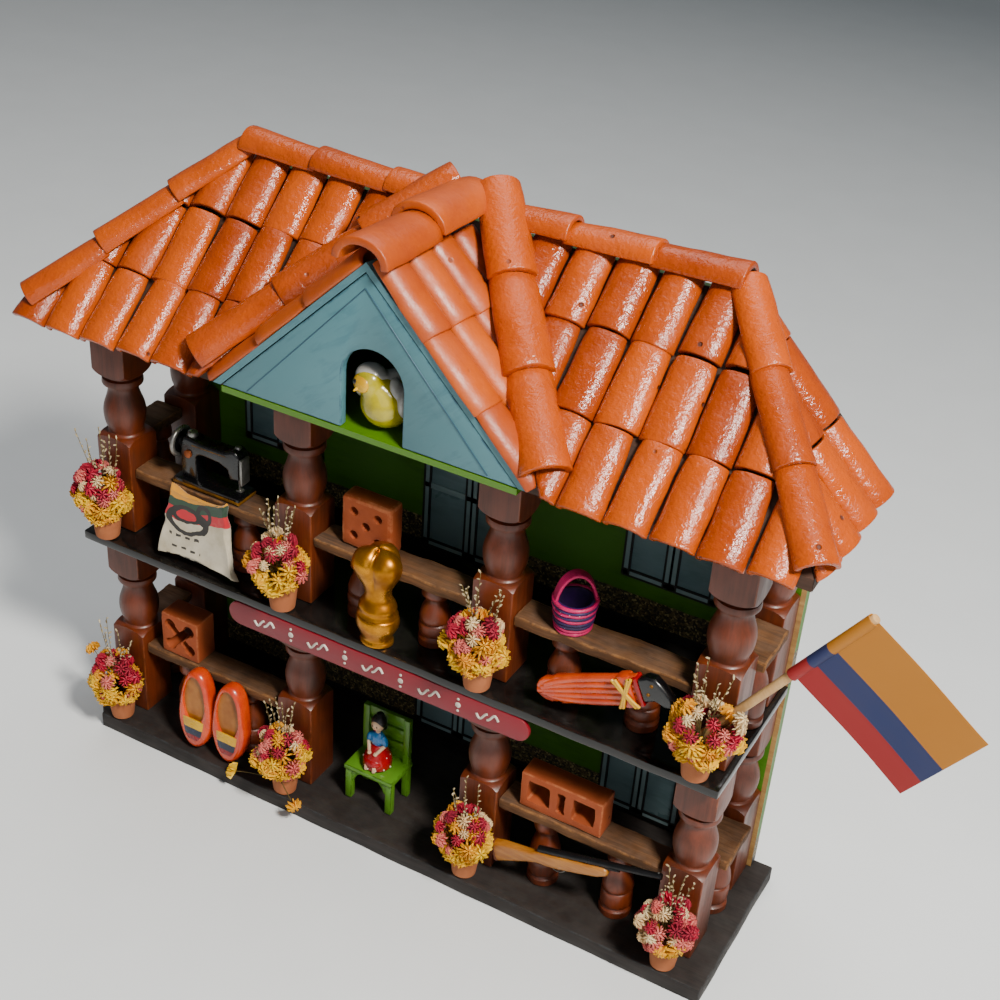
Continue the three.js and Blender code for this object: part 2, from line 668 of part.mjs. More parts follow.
function addCoffeeSack() {
  const [x, z] = [bayX[0], deckZ + gap];
  const [footLeft, footRight, topHalf, height, thickness] = [16.5, 20.5, 13.5, 28.5, 3.8];
  const footY = deckSetback + 0.4;
  const topY = columnRowY - plankWidth / 2 - gap - thickness;
  const corners = [
    [x - footLeft, footY, z],
    [x + footRight, footY, z],
    [x - topHalf, topY, z + height],
    [x + topHalf, topY, z + height],
  ];
  const backCorners = corners.map(([cx, cy, cz]) => [cx, cy + thickness, cz]);
  addPart('coffee_sack', hull([...corners, ...backCorners]), sackCloth);
}

function addBricks() {
  const [width, depth, height] = [18.5, 7.6, 18.5];
  const front = notchedSpan[0] + 1.3;
  const left = bayX[1] - 21;
  const body = boxSolid([left, left + width], [front, front + depth], [upperRailTop, upperRailTop + height]);
  const spots = [[0.25, 0.25], [0.75, 0.25], [0.5, 0.5], [0.25, 0.75], [0.75, 0.75]];
  const holes = spots.map(([a, b]) => {
    const drill = new THREE.CylinderGeometry(1.4, 1.4, depth + 4, 10);
    return solid(drill.translate(left + a * width, front + depth / 2, upperRailTop + b * height));
  });
  addPart('five_hole_brick', body.subtract(joined(holes)), brickClay);

  const cross = [16, 9.6, 17];
  const crossX = bayX[0] - 14.5;
  const block = boxSolid(
    [crossX - cross[0] / 2, crossX + cross[0] / 2],
    [columnRowY - cross[1] / 2, columnRowY + cross[1] / 2],
    [lowerRailTop, lowerRailTop + cross[2]],
  );
  const arms = [Math.PI / 4, -Math.PI / 4].map((turn) => {
    const slot = new THREE.BoxGeometry(14, cross[1] + 4, 3.8).rotateY(turn);
    return solid(slot.translate(crossX, columnRowY, lowerRailTop + cross[2] / 2));
  });
  addPart('cross_hole_brick', block.subtract(joined(arms)), brickClay);

  const [length, deep, tall] = [29.5, 8.5, 14];
  const start = bayX[2] - 22.7;
  const shellDepth = [columnRowY - deep / 2, columnRowY + deep / 2];
  const shell = boxSolid([start, start + length], shellDepth, [lowerRailTop, lowerRailTop + tall]);
  const windows = [[2.6, 10.6], [13.3, 16.2], [18.9, 26.9]].map(([a, b]) => boxSolid(
    [start + a, start + b],
    [columnRowY - deep, columnRowY + deep],
    [lowerRailTop + 3, lowerRailTop + tall - 2.6],
  ));
  addPart('hollow_brick', shell.subtract(joined(windows)), brickClay);
}

function addGoldOrnament() {
  const profile = [
    [0, 0], [5.4, 0], [6.2, 3.5], [7.4, 7], [7.4, 10], [6, 12.5], [6.6, 14],
    [4.6, 18], [4.8, 21.5], [6.6, 24.5], [9, 28.5], [8.8, 32], [6, 35.2], [0, 36],
  ];
  const shape = turned(profile, 14).scale(1, 0.84, 1);
  addPart('gold_ornament', shape.translate(bayX[1] - 1.5, 6.4, deckZ + gap), goldPaint);
}

function addBasket() {
  const [x, y, z] = [bayX[2] - 12.4, columnRowY, upperRailTop];
  const [radius, wall, height] = [7.2, 1.3, 9.5];
  const profile = [
    [0, 0], [radius - 1.2, 0], [radius, height],
    [radius - wall, height], [radius - 1.2 - wall, wall], [0, wall],
  ];
  const cup = solid(turned(profile, 16).translate(x, y, z));
  const hoop = new THREE.CatmullRomCurve3([0, 1, 2, 3, 4, 5, 6].map((i) => {
    const angle = (Math.PI * i) / 6;
    const across = Math.cos(angle) * (radius - wall / 2);
    return new THREE.Vector3(x + across * 0.8, y + across * 0.6, z + height - 1 + Math.sin(angle) * 11);
  }));
  const section = new THREE.Shape(new THREE.Path().absarc(0, 0, 1, 0, Math.PI * 2).getPoints(3));
  const handle = new THREE.ExtrudeGeometry(section, { steps: 14, bevelEnabled: false, extrudePath: hoop });
  addPart('basket', joined([cup, solid(handle)]), pinkCord);
}

function addSheathedMachete() {
  const outline = [[0, 0], [5, -5.2], [12, -6.1], [36, -5.2], [36, 5.2], [12, 6.1], [5, 5.2]];
  const handle = [[35, -4], [42, -3.6], [45, -6.5], [47.5, -4.5], [45, 3], [41, 5.6], [35, 5]];
  const thickness = 5;
  const sheath = solid(pulledBack(outline, 0, thickness));
  const flat = joined([sheath, solid(pulledBack(handle, 0.5, thickness - 0.5))]);
  const turn = THREE.MathUtils.degToRad(-24);
  const position = [bayX[2] - 17.5, columnFrontY - 6, deckZ + 6.5];
  addPart('sheathed_machete', placed(geometryOf(flat), position, [0, turn, 0]), orangeEnamel);
}

function addSlippers() {
  const [halfWidth, length, depth, pocket] = [7.7, 33, 7, 3.4];
  const spacing = 14.8;
  const sole = (grow) => {
    const shape = new THREE.Shape();
    shape.absellipse(0, length / 2, halfWidth - grow, length / 2 - grow, 0, Math.PI * 2, false);
    return shape;
  };
  const mouth = new THREE.Shape();
  mouth.absellipse(0, length * 0.62, halfWidth - 2, length * 0.3, 0, Math.PI * 2, false);
  const clog = solid(pulledBack(sole(0), 0, depth)).subtract(solid(pulledBack(mouth, -1, pocket)));
  const pair = clog.add(clog.translate([spacing, 0, 0]));
  const lean = THREE.MathUtils.degToRad(-5);
  addPart('slippers', placed(geometryOf(pair), [bayX[0] - 2.7, 1.6, floorZ + 1.2], [lean, 0, 0]), orangeEnamel);
}

function addChairAndDoll() {
  const [width, deep, seatTop, backTop, leg, seat] = [19, 13.5, 15, 35, 2.6, 2];
  const left = -17;
  const front = 12.5;
  const foot = floorZ + gap;
  const xs = [left, left + width - leg];
  const ys = [front, front + deep - leg];
  const legSpan = [foot, foot + seatTop - seat + 0.5];
  const legs = xs.flatMap((x) => ys.map((y) => boxSolid([x, x + leg], [y, y + leg], legSpan)));
  const back = [front + deep - seat, front + deep];
  addPart('chair', joined([
    ...legs,
    boxSolid([left, left + width], [front, front + deep], [foot + seatTop - seat, foot + seatTop]),
    boxSolid([left, left + width], back, [foot + seatTop - seat, foot + backTop]),
    boxSolid([left, left + width], [front, front + 1.6], [foot + seatTop - 4.5, foot + seatTop - 1]),
  ]), chairGreen);
  const profile = [
    [0, 0], [5, 0], [5.2, 3], [4, 6.5], [2.8, 8], [3.8, 12],
    [3.2, 14.5], [1.5, 15.6], [2.9, 17.5], [3.3, 19.5], [2.4, 21.8], [0, 22.4],
  ];
  const sitter = turned(profile, 12).translate(left + width / 2, front + 5.9, foot + seatTop + gap);
  addPart('doll', sitter, dollBlue);
}

function addShotgun() {
  const stock = [
    [0, -5.5], [15, -1.6], [22, -1.2], [42, 0.2], [42, 2.6], [20, 2.6], [15, 2.2], [0, 3],
  ];
  const barrel = new THREE.CylinderGeometry(1.4, 1.4, 43, 10).rotateZ(Math.PI / 2).translate(39.5, 1.6, 3.4);
  const gun = joined([solid(pulledBack(stock, 0, 3.2)), solid(barrel)]);
  const turn = THREE.MathUtils.degToRad(-14.5);
  const position = [bayX[2] - 27.4, columnFrontY - gap - 3.3, floorZ + 13.5];
  addPart('shotgun', placed(geometryOf(gun), position, [0, turn, 0]), gunWood);
}

addBaseAndDecks();
addBackWall();
addGable();
addRoofBoards();
addTileFields();
addDormerTiles();
addRoofCaps();
addColumns();
addRails();
addSign();
addPots();
addFlag();
addBird();
addSewingMachine();
addCoffeeSack();
addBricks();
addGoldOrnament();
addBasket();
addSheathedMachete();
addSlippers();
addChairAndDoll();
addShotgun();

house.position.y = -baseDepth / 2;

export default house;
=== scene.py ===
import math
import random

import bmesh
import bpy
from mathutils import Matrix, Vector, noise


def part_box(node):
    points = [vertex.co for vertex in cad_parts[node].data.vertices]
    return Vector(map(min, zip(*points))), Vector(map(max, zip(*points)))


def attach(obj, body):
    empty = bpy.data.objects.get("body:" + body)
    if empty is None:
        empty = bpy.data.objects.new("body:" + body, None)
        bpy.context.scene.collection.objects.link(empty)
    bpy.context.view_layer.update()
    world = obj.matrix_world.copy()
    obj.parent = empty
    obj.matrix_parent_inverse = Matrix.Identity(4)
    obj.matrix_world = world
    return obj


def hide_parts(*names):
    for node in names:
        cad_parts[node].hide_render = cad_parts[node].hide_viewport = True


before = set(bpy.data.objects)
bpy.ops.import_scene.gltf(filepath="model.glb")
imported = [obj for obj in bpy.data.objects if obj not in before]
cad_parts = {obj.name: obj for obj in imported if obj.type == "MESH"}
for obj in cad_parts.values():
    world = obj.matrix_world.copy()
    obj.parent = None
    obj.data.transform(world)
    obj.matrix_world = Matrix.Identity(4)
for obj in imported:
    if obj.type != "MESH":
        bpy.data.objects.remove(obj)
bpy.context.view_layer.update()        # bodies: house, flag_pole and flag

mm = 0.001
random.seed(41)
bpy.ops.object.select_all(action="DESELECT")

# Levels and lines that everything else is set out from, in millimetres.
def corners(node):
    low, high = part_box(node)
    return low / mm, high / mm

baseLow, baseHigh = corners("base_board")
deckLow, deckHigh = corners("balcony_deck")
atticLow, atticHigh = corners("attic_floor")
wallLow, wallHigh = corners("back_wall")
gableLow, gableHigh = corners("gable_board")
boardLow, boardHigh = corners("roof_board_front")
ridgeHalf = corners("roof_board_right")[0].x
ridgeY = boardHigh.y
ridgeZ = boardHigh.z
eaveHalf = boardHigh.x
eaveY = boardLow.y
floorTop = baseHigh.z
deckTop = deckHigh.z
atticTop = atticHigh.z
wallY = wallLow.y
columnX = [(corners(f"upper_column_{i}")[0].x + corners(f"upper_column_{i}")[1].x) / 2 for i in (1, 2, 3, 4)]
columnY = (corners("upper_column_1")[0].y + corners("upper_column_1")[1].y) / 2
backColumnY = (corners("upper_back_column_left")[0].y + corners("upper_back_column_left")[1].y) / 2
bayX = [(columnX[i] + columnX[i + 1]) / 2 for i in range(3)]


view = {
    "place": (213.4, -367.9, 401.3),
    "turn": (57.235, -3.581, 29.296),
    "lens": 57.37,
}

def addCamera():
    camera = bpy.data.objects.new("camera", bpy.data.cameras.new("camera"))
    camera.data.lens = view["lens"]
    camera.data.sensor_width = 36
    camera.data.clip_start = 0.01
    camera.location = [value * mm for value in view["place"]]
    camera.rotation_euler = [math.radians(value) for value in view["turn"]]
    bpy.context.collection.objects.link(camera)
    bpy.context.scene.camera = camera

lamps = {
    "key": {"towards": (0.60, -0.34, 0.78), "away": 0.95, "size": 0.15, "power": 17.0, "tint": (1, 0.95, 0.88)},
    "top": {"towards": (-0.1, 0.35, 1.0), "away": 1.1, "size": 0.9, "power": 8.0, "tint": (1, 0.98, 0.96)},
    "front": {"towards": (0.35, -1.0, 0.35), "away": 1.3, "size": 0.8, "power": 2.2, "tint": (0.93, 0.96, 1)},
}

def addLights():
    aim = Vector((0, 0, 0.11))
    for name, lamp in lamps.items():
        light = bpy.data.lights.new(name, "AREA")
        light.size = lamp["size"]
        light.energy = lamp["power"]
        light.color = lamp["tint"]
        holder = bpy.data.objects.new(name, light)
        away = Vector(lamp["towards"]).normalized()
        holder.location = aim + away * lamp["away"]
        holder.rotation_euler = away.to_track_quat("Z", "Y").to_euler()
        bpy.context.collection.objects.link(holder)
    world = bpy.data.worlds.new("studio")
    world.use_nodes = True
    world.node_tree.nodes["Background"].inputs["Color"].default_value = (0.86, 0.9, 0.95, 1)
    world.node_tree.nodes["Background"].inputs["Strength"].default_value = 0.17
    bpy.context.scene.world = world

def addFloor():
    bpy.ops.mesh.primitive_plane_add(size=6)
    floor = bpy.context.object
    floor.name = "studioFloor"
    floor.data.materials.append(floorMaterial())


def addNode(tree, kind, inputs=None, **settings):
    made = tree.nodes.new(kind)
    for key, value in settings.items():
        setattr(made, key, value)
    for key, value in (inputs or {}).items():
        if isinstance(value, bpy.types.NodeSocket):
            tree.links.new(value, made.inputs[key])
        else:
            made.inputs[key].default_value = value
    return made

def maths(tree, operation, first, second=0.0, third=0.0):
    made = addNode(tree, "ShaderNodeMath", {0: first, 1: second, 2: third}, operation=operation)
    return made.outputs[0]

def mixColor(tree, amount, first, second, blend="MIX"):
    made = addNode(tree, "ShaderNodeMix", {"Factor": amount, 6: first, 7: second}, data_type="RGBA", blend_type=blend)
    return made.outputs[2]

def between(tree, value, low, high, bottom=0.0, top=1.0):
    made = addNode(tree, "ShaderNodeMapRange", {0: value, 1: low, 2: high, 3: bottom, 4: top})
    return made.outputs[0]

def noiseAt(tree, vector, scale, detail=3.0, rough=0.5, distort=0.0):
    inputs = {"Vector": vector, "Scale": scale, "Detail": detail, "Roughness": rough, "Distortion": distort}
    return addNode(tree, "ShaderNodeTexNoise", inputs).outputs["Fac"]

# A colour as it looks in the hand; strong lamps wash it out, so the surface is deeper and darker.
depth = {"strength": 1.12, "dark": 0.72}

def hexColor(code):
    parts = [int(code[i:i + 2], 16) / 255 for i in (0, 2, 4)]
    light = [((c + 0.055) / 1.055) ** 2.4 if c > 0.04 else c / 12.92 for c in parts]
    grey = 0.3 * light[0] + 0.6 * light[1] + 0.1 * light[2]
    return tuple(max(0.0, grey + (c - grey) * depth["strength"]) * depth["dark"] for c in light) + (1.0,)

kinds = {"c": "NodeSocketColor", "f": "NodeSocketFloat", "v": "NodeSocketVector"}

def newGroup(name, inputs, outputs):
    tree = bpy.data.node_groups.new(name, "ShaderNodeTree")
    for label, (kind, value) in inputs.items():
        socket = tree.interface.new_socket(label, in_out="INPUT", socket_type=kinds[kind])
        if value is not None:
            socket.default_value = value
    for label, kind in outputs.items():
        tree.interface.new_socket(label, in_out="OUTPUT", socket_type=kinds[kind])
    return tree, tree.nodes.new("NodeGroupInput").outputs, tree.nodes.new("NodeGroupOutput").inputs


# Long fibres along local X: streaks of two colours and the height of the grain.
def makeGrainGroup():
    tree, given, out = newGroup(
        "woodGrain",
        {"Vector": ("v", None), "Light": ("c", (0.5, 0.3, 0.2, 1)), "Dark": ("c", (0.2, 0.1, 0.06, 1)),
         "Scale": ("f", 1.0), "Contrast": ("f", 1.0)},
        {"Color": "c", "Height": "f"},
    )
    stretch = addNode(tree, "ShaderNodeVectorMath", {0: given["Vector"], 1: (60, 900, 900)}, operation="MULTIPLY")
    coords = addNode(tree, "ShaderNodeVectorMath", {0: stretch.outputs[0]}, operation="SCALE")
    tree.links.new(given["Scale"], coords.inputs["Scale"])
    broad = noiseAt(tree, coords.outputs[0], 0.35, 3, 0.55, 1.2)
    fine = noiseAt(tree, coords.outputs[0], 2.6, 4, 0.7, 0.2)
    blotch = noiseAt(tree, given["Vector"], 90, 2)
    both = maths(tree, "MULTIPLY_ADD", fine, 0.45, maths(tree, "MULTIPLY", broad, 0.7))
    both = maths(tree, "MULTIPLY_ADD", maths(tree, "SUBTRACT", blotch, 0.5), 0.6, both)
    spread = maths(tree, "MULTIPLY_ADD", maths(tree, "SUBTRACT", both, 0.57), given["Contrast"], 0.5)
    factor = between(tree, spread, 0.25, 0.75)
    tree.links.new(mixColor(tree, factor, given["Dark"], given["Light"]), out["Color"])
    tree.links.new(both, out["Height"])
    return tree

# Paint laid on with a brush along local X: faint streaks, thin patches and ridges.
def makeBrushGroup():
    tree, given, out = newGroup(
        "brushedPaint",
        {"Vector": ("v", None), "Paint": ("c", (0.2, 0.4, 0.1, 1)), "Thin": ("c", (0.1, 0.2, 0.05, 1)),
         "Cover": ("f", 0.7)},
        {"Color": "c", "Height": "f", "Roughness": "f"},
    )
    strokes = addNode(tree, "ShaderNodeVectorMath", {0: given["Vector"], 1: (70, 420, 420)}, operation="MULTIPLY")
    streak = noiseAt(tree, strokes.outputs[0], 1.0, 4, 0.65, 0.8)
    patch = noiseAt(tree, given["Vector"], 55, 3, 0.55)
    cover = maths(tree, "MULTIPLY_ADD", patch, 0.8, maths(tree, "MULTIPLY", streak, 0.7))
    worn = between(tree, cover, maths(tree, "SUBTRACT", 0.98, given["Cover"]), maths(tree, "SUBTRACT", 1.35, given["Cover"]))
    tree.links.new(mixColor(tree, worn, given["Thin"], given["Paint"]), out["Color"])
    tree.links.new(streak, out["Height"])
    tree.links.new(between(tree, patch, 0.3, 0.7, 0.38, 0.6), out["Roughness"])
    return tree

# Sharp edges, marked on the mesh as "edge", show what is under the finish.
def makeWearGroup():
    tree, given, out = newGroup(
        "wornEdges",
        {"Color": ("c", (0.1, 0.1, 0.1, 1)), "Under": ("c", (0.5, 0.4, 0.3, 1)), "Amount": ("f", 0.5)},
        {"Color": "c", "Mask": "f"},
    )
    edge = addNode(tree, "ShaderNodeAttribute", attribute_name="edge").outputs["Fac"]
    place = addNode(tree, "ShaderNodeTexCoord").outputs["Object"]
    rubbed = noiseAt(tree, place, 260, 4, 0.7)
    mask = maths(tree, "MULTIPLY", edge, between(tree, rubbed, 0.42, 0.62))
    mask = maths(tree, "MULTIPLY", mask, given["Amount"])
    tree.links.new(mixColor(tree, mask, given["Color"], given["Under"]), out["Color"])
    tree.links.new(mask, out["Mask"])
    return tree

# Fired clay under varnish: soft mottling, iron specks and small pits, with one tint for each tile.
def makeClayGroup():
    tree, given, out = newGroup(
        "firedClay",
        {"Vector": ("v", None), "Clay": ("c", (0.6, 0.2, 0.05, 1)), "Deep": ("c", (0.4, 0.1, 0.03, 1)),
         "Pits": ("f", 0.5)},
        {"Color": "c", "Height": "f", "Pit": "f"},
    )
    tint = addNode(tree, "ShaderNodeAttribute", attribute_name="tint").outputs["Fac"]
    cloud = noiseAt(tree, given["Vector"], 70, 4, 0.6, 0.4)
    fine = noiseAt(tree, given["Vector"], 620, 3, 0.6)
    shade = maths(tree, "MULTIPLY_ADD", tint, 0.55, maths(tree, "MULTIPLY", cloud, 0.75))
    shade = maths(tree, "MULTIPLY_ADD", maths(tree, "SUBTRACT", fine, 0.5), 0.25, shade)
    body = mixColor(tree, between(tree, shade, 0.3, 0.95), given["Deep"], given["Clay"])
    cells = addNode(tree, "ShaderNodeTexVoronoi", {"Vector": given["Vector"], "Scale": 135.0, "Randomness": 1.0})
    rare = between(tree, addNode(tree, "ShaderNodeSeparateColor", {0: cells.outputs["Color"]}).outputs[0], 0.72, 0.76)
    dot = maths(tree, "MULTIPLY", between(tree, cells.outputs["Distance"], 0.12, 0.06), rare)
    pit = maths(tree, "MULTIPLY", dot, given["Pits"])
    tree.links.new(mixColor(tree, pit, body, (0.03, 0.01, 0.008, 1)), out["Color"])
    rough = maths(tree, "MULTIPLY_ADD", fine, 0.5, maths(tree, "MULTIPLY", cloud, 0.5))
    tree.links.new(maths(tree, "SUBTRACT", rough, pit), out["Height"])
    tree.links.new(pit, out["Pit"])
    return tree

# Pale dust that settles where a surface faces up.
def makeDustGroup():
    tree, given, out = newGroup(
        "settledDust",
        {"Color": ("c", (0.1, 0.1, 0.1, 1)), "Dust": ("c", (0.45, 0.42, 0.38, 1)), "Amount": ("f", 0.2)},
        {"Color": "c", "Mask": "f"},
    )
    normal = addNode(tree, "ShaderNodeNewGeometry").outputs["Normal"]
    up = between(tree, addNode(tree, "ShaderNodeSeparateXYZ", {0: normal}).outputs[2], 0.3, 1.0)
    place = addNode(tree, "ShaderNodeTexCoord").outputs["Object"]
    patch = between(tree, noiseAt(tree, place, 110, 4, 0.7), 0.38, 0.72)
    mask = maths(tree, "MULTIPLY", maths(tree, "MULTIPLY", up, patch), given["Amount"])
    tree.links.new(mixColor(tree, mask, given["Color"], given["Dust"]), out["Color"])
    tree.links.new(mask, out["Mask"])
    return tree

grainGroup = makeGrainGroup()
brushGroup = makeBrushGroup()
wearGroup = makeWearGroup()
clayGroup = makeClayGroup()
dustGroup = makeDustGroup()

def placeGroup(tree, group, inputs):
    made = tree.nodes.new("ShaderNodeGroup")
    made.node_tree = group
    for key, value in inputs.items():
        if isinstance(value, bpy.types.NodeSocket):
            tree.links.new(value, made.inputs[key])
        else:
            made.inputs[key].default_value = value
    return made.outputs


def startMaterial(name, roughness=0.5, turn=(0, 0, 0), **sockets):
    material = bpy.data.materials.new(name)
    material.use_nodes = True
    tree = material.node_tree
    shader = tree.nodes["Principled BSDF"]
    shader.inputs["Roughness"].default_value = roughness
    for key, value in sockets.items():
        shader.inputs[key.replace("_", " ")].default_value = value
    place = addNode(tree, "ShaderNodeTexCoord").outputs["Object"]
    turned = addNode(tree, "ShaderNodeMapping", {"Vector": place, "Rotation": [math.radians(a) for a in turn]})
    return material, tree, shader, turned.outputs[0]

def addBump(tree, shader, height, strength=0.3, distance=0.1):
    bump = addNode(tree, "ShaderNodeBump", {"Height": height, "Strength": strength, "Distance": distance * mm})
    tree.links.new(bump.outputs[0], shader.inputs["Normal"])

def woodMaterial(name, light, dark, roughness, turn=(0, 90, 0), scale=1.0, contrast=1.0, under=None, dust=0.0, bump=0.25, **more):
    material, tree, shader, vector = startMaterial(name, roughness, turn, **more)
    inputs = {"Vector": vector, "Light": hexColor(light), "Dark": hexColor(dark), "Scale": scale, "Contrast": contrast}
    grain = placeGroup(tree, grainGroup, inputs)
    color = grain["Color"]
    if under:
        color = placeGroup(tree, wearGroup, {"Color": color, "Under": hexColor(under), "Amount": 0.8})["Color"]
    if dust:
        color = placeGroup(tree, dustGroup, {"Color": color, "Amount": dust})["Color"]
    tree.links.new(color, shader.inputs["Base Color"])
    tree.links.new(between(tree, grain["Height"], 0.3, 0.8, roughness * 1.25, roughness * 0.8), shader.inputs["Roughness"])
    addBump(tree, shader, grain["Height"], bump, 0.12)
    return material

def paintMaterial(name, paint, thin, turn=(0, 0, 0), cover=0.7, under=None, dust=0.0, gloss=1.0, **more):
    material, tree, shader, vector = startMaterial(name, 0.5, turn, **more)
    inputs = {"Vector": vector, "Paint": hexColor(paint), "Thin": hexColor(thin), "Cover": cover}
    brushed = placeGroup(tree, brushGroup, inputs)
    color = brushed["Color"]
    if under:
        color = placeGroup(tree, wearGroup, {"Color": color, "Under": hexColor(under), "Amount": 0.9})["Color"]
    if dust:
        color = placeGroup(tree, dustGroup, {"Color": color, "Amount": dust})["Color"]
    tree.links.new(color, shader.inputs["Base Color"])
    tree.links.new(maths(tree, "MULTIPLY", brushed["Roughness"], gloss), shader.inputs["Roughness"])
    addBump(tree, shader, brushed["Height"], 0.35, 0.12)
    return material

def clayMaterial(name, clay, deep, roughness, pits=0.5, patchy=0.1, bump=0.35, grit=0.16, dust=0.0, under=None):
    material, tree, shader, vector = startMaterial(name, roughness)
    inputs = {"Vector": vector, "Clay": hexColor(clay), "Deep": hexColor(deep), "Pits": pits}
    body = placeGroup(tree, clayGroup, inputs)
    color = body["Color"]
    if under:
        color = placeGroup(tree, wearGroup, {"Color": color, "Under": hexColor(under), "Amount": 0.6})["Color"]
    if dust:
        color = placeGroup(tree, dustGroup, {"Color": color, "Amount": dust})["Color"]
    tree.links.new(color, shader.inputs["Base Color"])
    patch = between(tree, noiseAt(tree, vector, 60, 4, 0.65), 0.4, 0.66, roughness, roughness + patchy)
    tree.links.new(maths(tree, "MULTIPLY_ADD", body["Pit"], 0.5, patch), shader.inputs["Roughness"])
    addBump(tree, shader, body["Height"], bump, grit)
    return material

# Enamel on a small cast figure, a little uneven.
def enamelMaterial(name, color, shade=None, roughness=0.25, **more):
    material, tree, shader, vector = startMaterial(name, roughness, **more)
    patch = between(tree, noiseAt(tree, vector, 160, 3, 0.6), 0.32, 0.68)
    deep = hexColor(shade) if shade else tuple(c * 0.62 for c in hexColor(color)[:3]) + (1,)
    tree.links.new(mixColor(tree, patch, deep, hexColor(color)), shader.inputs["Base Color"])
    tree.links.new(between(tree, patch, 0, 1, roughness * 1.5, roughness * 0.8), shader.inputs["Roughness"])
    addBump(tree, shader, noiseAt(tree, vector, 420, 2), 0.2, 0.08)
    return material

def floorMaterial():
    material, tree, shader, vector = startMaterial("paleFloor", 0.75)
    # The floor darkens with distance behind the model: painted falloff of light.
    depth = addNode(tree, "ShaderNodeSeparateXYZ", {0: vector}).outputs[1]
    lightFalloff = between(tree, depth, -0.05, 1.2)
    color = mixColor(tree, lightFalloff, (0.74, 0.77, 0.78, 1), (0.24, 0.27, 0.29, 1))
    fine = between(tree, noiseAt(tree, vector, 30, 3), 0.3, 0.7, 0.97, 1.0)
    shade = addNode(tree, "ShaderNodeCombineColor", {0: fine, 1: fine, 2: fine}).outputs[0]
    tree.links.new(mixColor(tree, 1.0, color, shade, "MULTIPLY"), shader.inputs["Base Color"])
    return material

# The wall is painted in bands: green, with a speckled dado above each floor whose lowest strip is black, a painted
# shadow where the wall meets the floor, and a strip of bare wood at its right edge.
wallBands = {"dado": 13.5, "footShadow": 4.0, "bareFrom": 116.9}

def wallMaterial():
    material, tree, shader, vector = startMaterial("paintedWall", 0.5)
    inputs = {"Vector": vector, "Paint": hexColor("4A7A1A"), "Thin": hexColor("2C5210"), "Cover": 0.62}
    green = placeGroup(tree, brushGroup, inputs)
    split = addNode(tree, "ShaderNodeSeparateXYZ", {0: vector}).outputs
    cells = addNode(tree, "ShaderNodeTexVoronoi", {"Vector": vector, "Scale": 1500.0})
    fleck = addNode(tree, "ShaderNodeSeparateColor", {0: cells.outputs["Color"]}).outputs
    speck = mixColor(tree, between(tree, fleck[0], 0.55, 0.62), hexColor("2E281C"), hexColor("6A5E40"))
    speck = mixColor(tree, between(tree, fleck[1], 0.86, 0.9), speck, hexColor("B4A67A"))
    color = green["Color"]
    for level in (floorTop, deckTop):
        ragged = maths(tree, "MULTIPLY_ADD", noiseAt(tree, vector, 300, 2), 0.9 * mm, split[2])
        inDado = maths(tree, "LESS_THAN", maths(tree, "ABSOLUTE", maths(tree, "SUBTRACT", ragged, (level + wallBands["dado"] / 2) * mm)), wallBands["dado"] / 2 * mm)
        color = mixColor(tree, inDado, color, speck)
        # The black strip along the foot of the wall is painted shadow where the wall meets the floor.
        inFootShadow = maths(tree, "LESS_THAN", maths(tree, "ABSOLUTE", maths(tree, "SUBTRACT", ragged, (level + wallBands["footShadow"] / 2) * mm)), wallBands["footShadow"] / 2 * mm)
        color = mixColor(tree, inFootShadow, color, hexColor("0D0D0C"))
    wood = placeGroup(tree, grainGroup, {"Vector": vector, "Light": hexColor("C09A66"), "Dark": hexColor("8A6238")})["Color"]
    front = maths(tree, "LESS_THAN", split[1], (wallY + 0.2) * mm)
    strip = maths(tree, "MULTIPLY", front, maths(tree, "GREATER_THAN", split[0], wallBands["bareFrom"] * mm))
    color = mixColor(tree, strip, color, wood)
    back = maths(tree, "GREATER_THAN", split[1], (wallHigh.y - 0.2) * mm)
    color = mixColor(tree, back, color, wood)
    tree.links.new(color, shader.inputs["Base Color"])
    tree.links.new(green["Roughness"], shader.inputs["Roughness"])
    addBump(tree, shader, green["Height"], 0.35, 0.12)
    return material

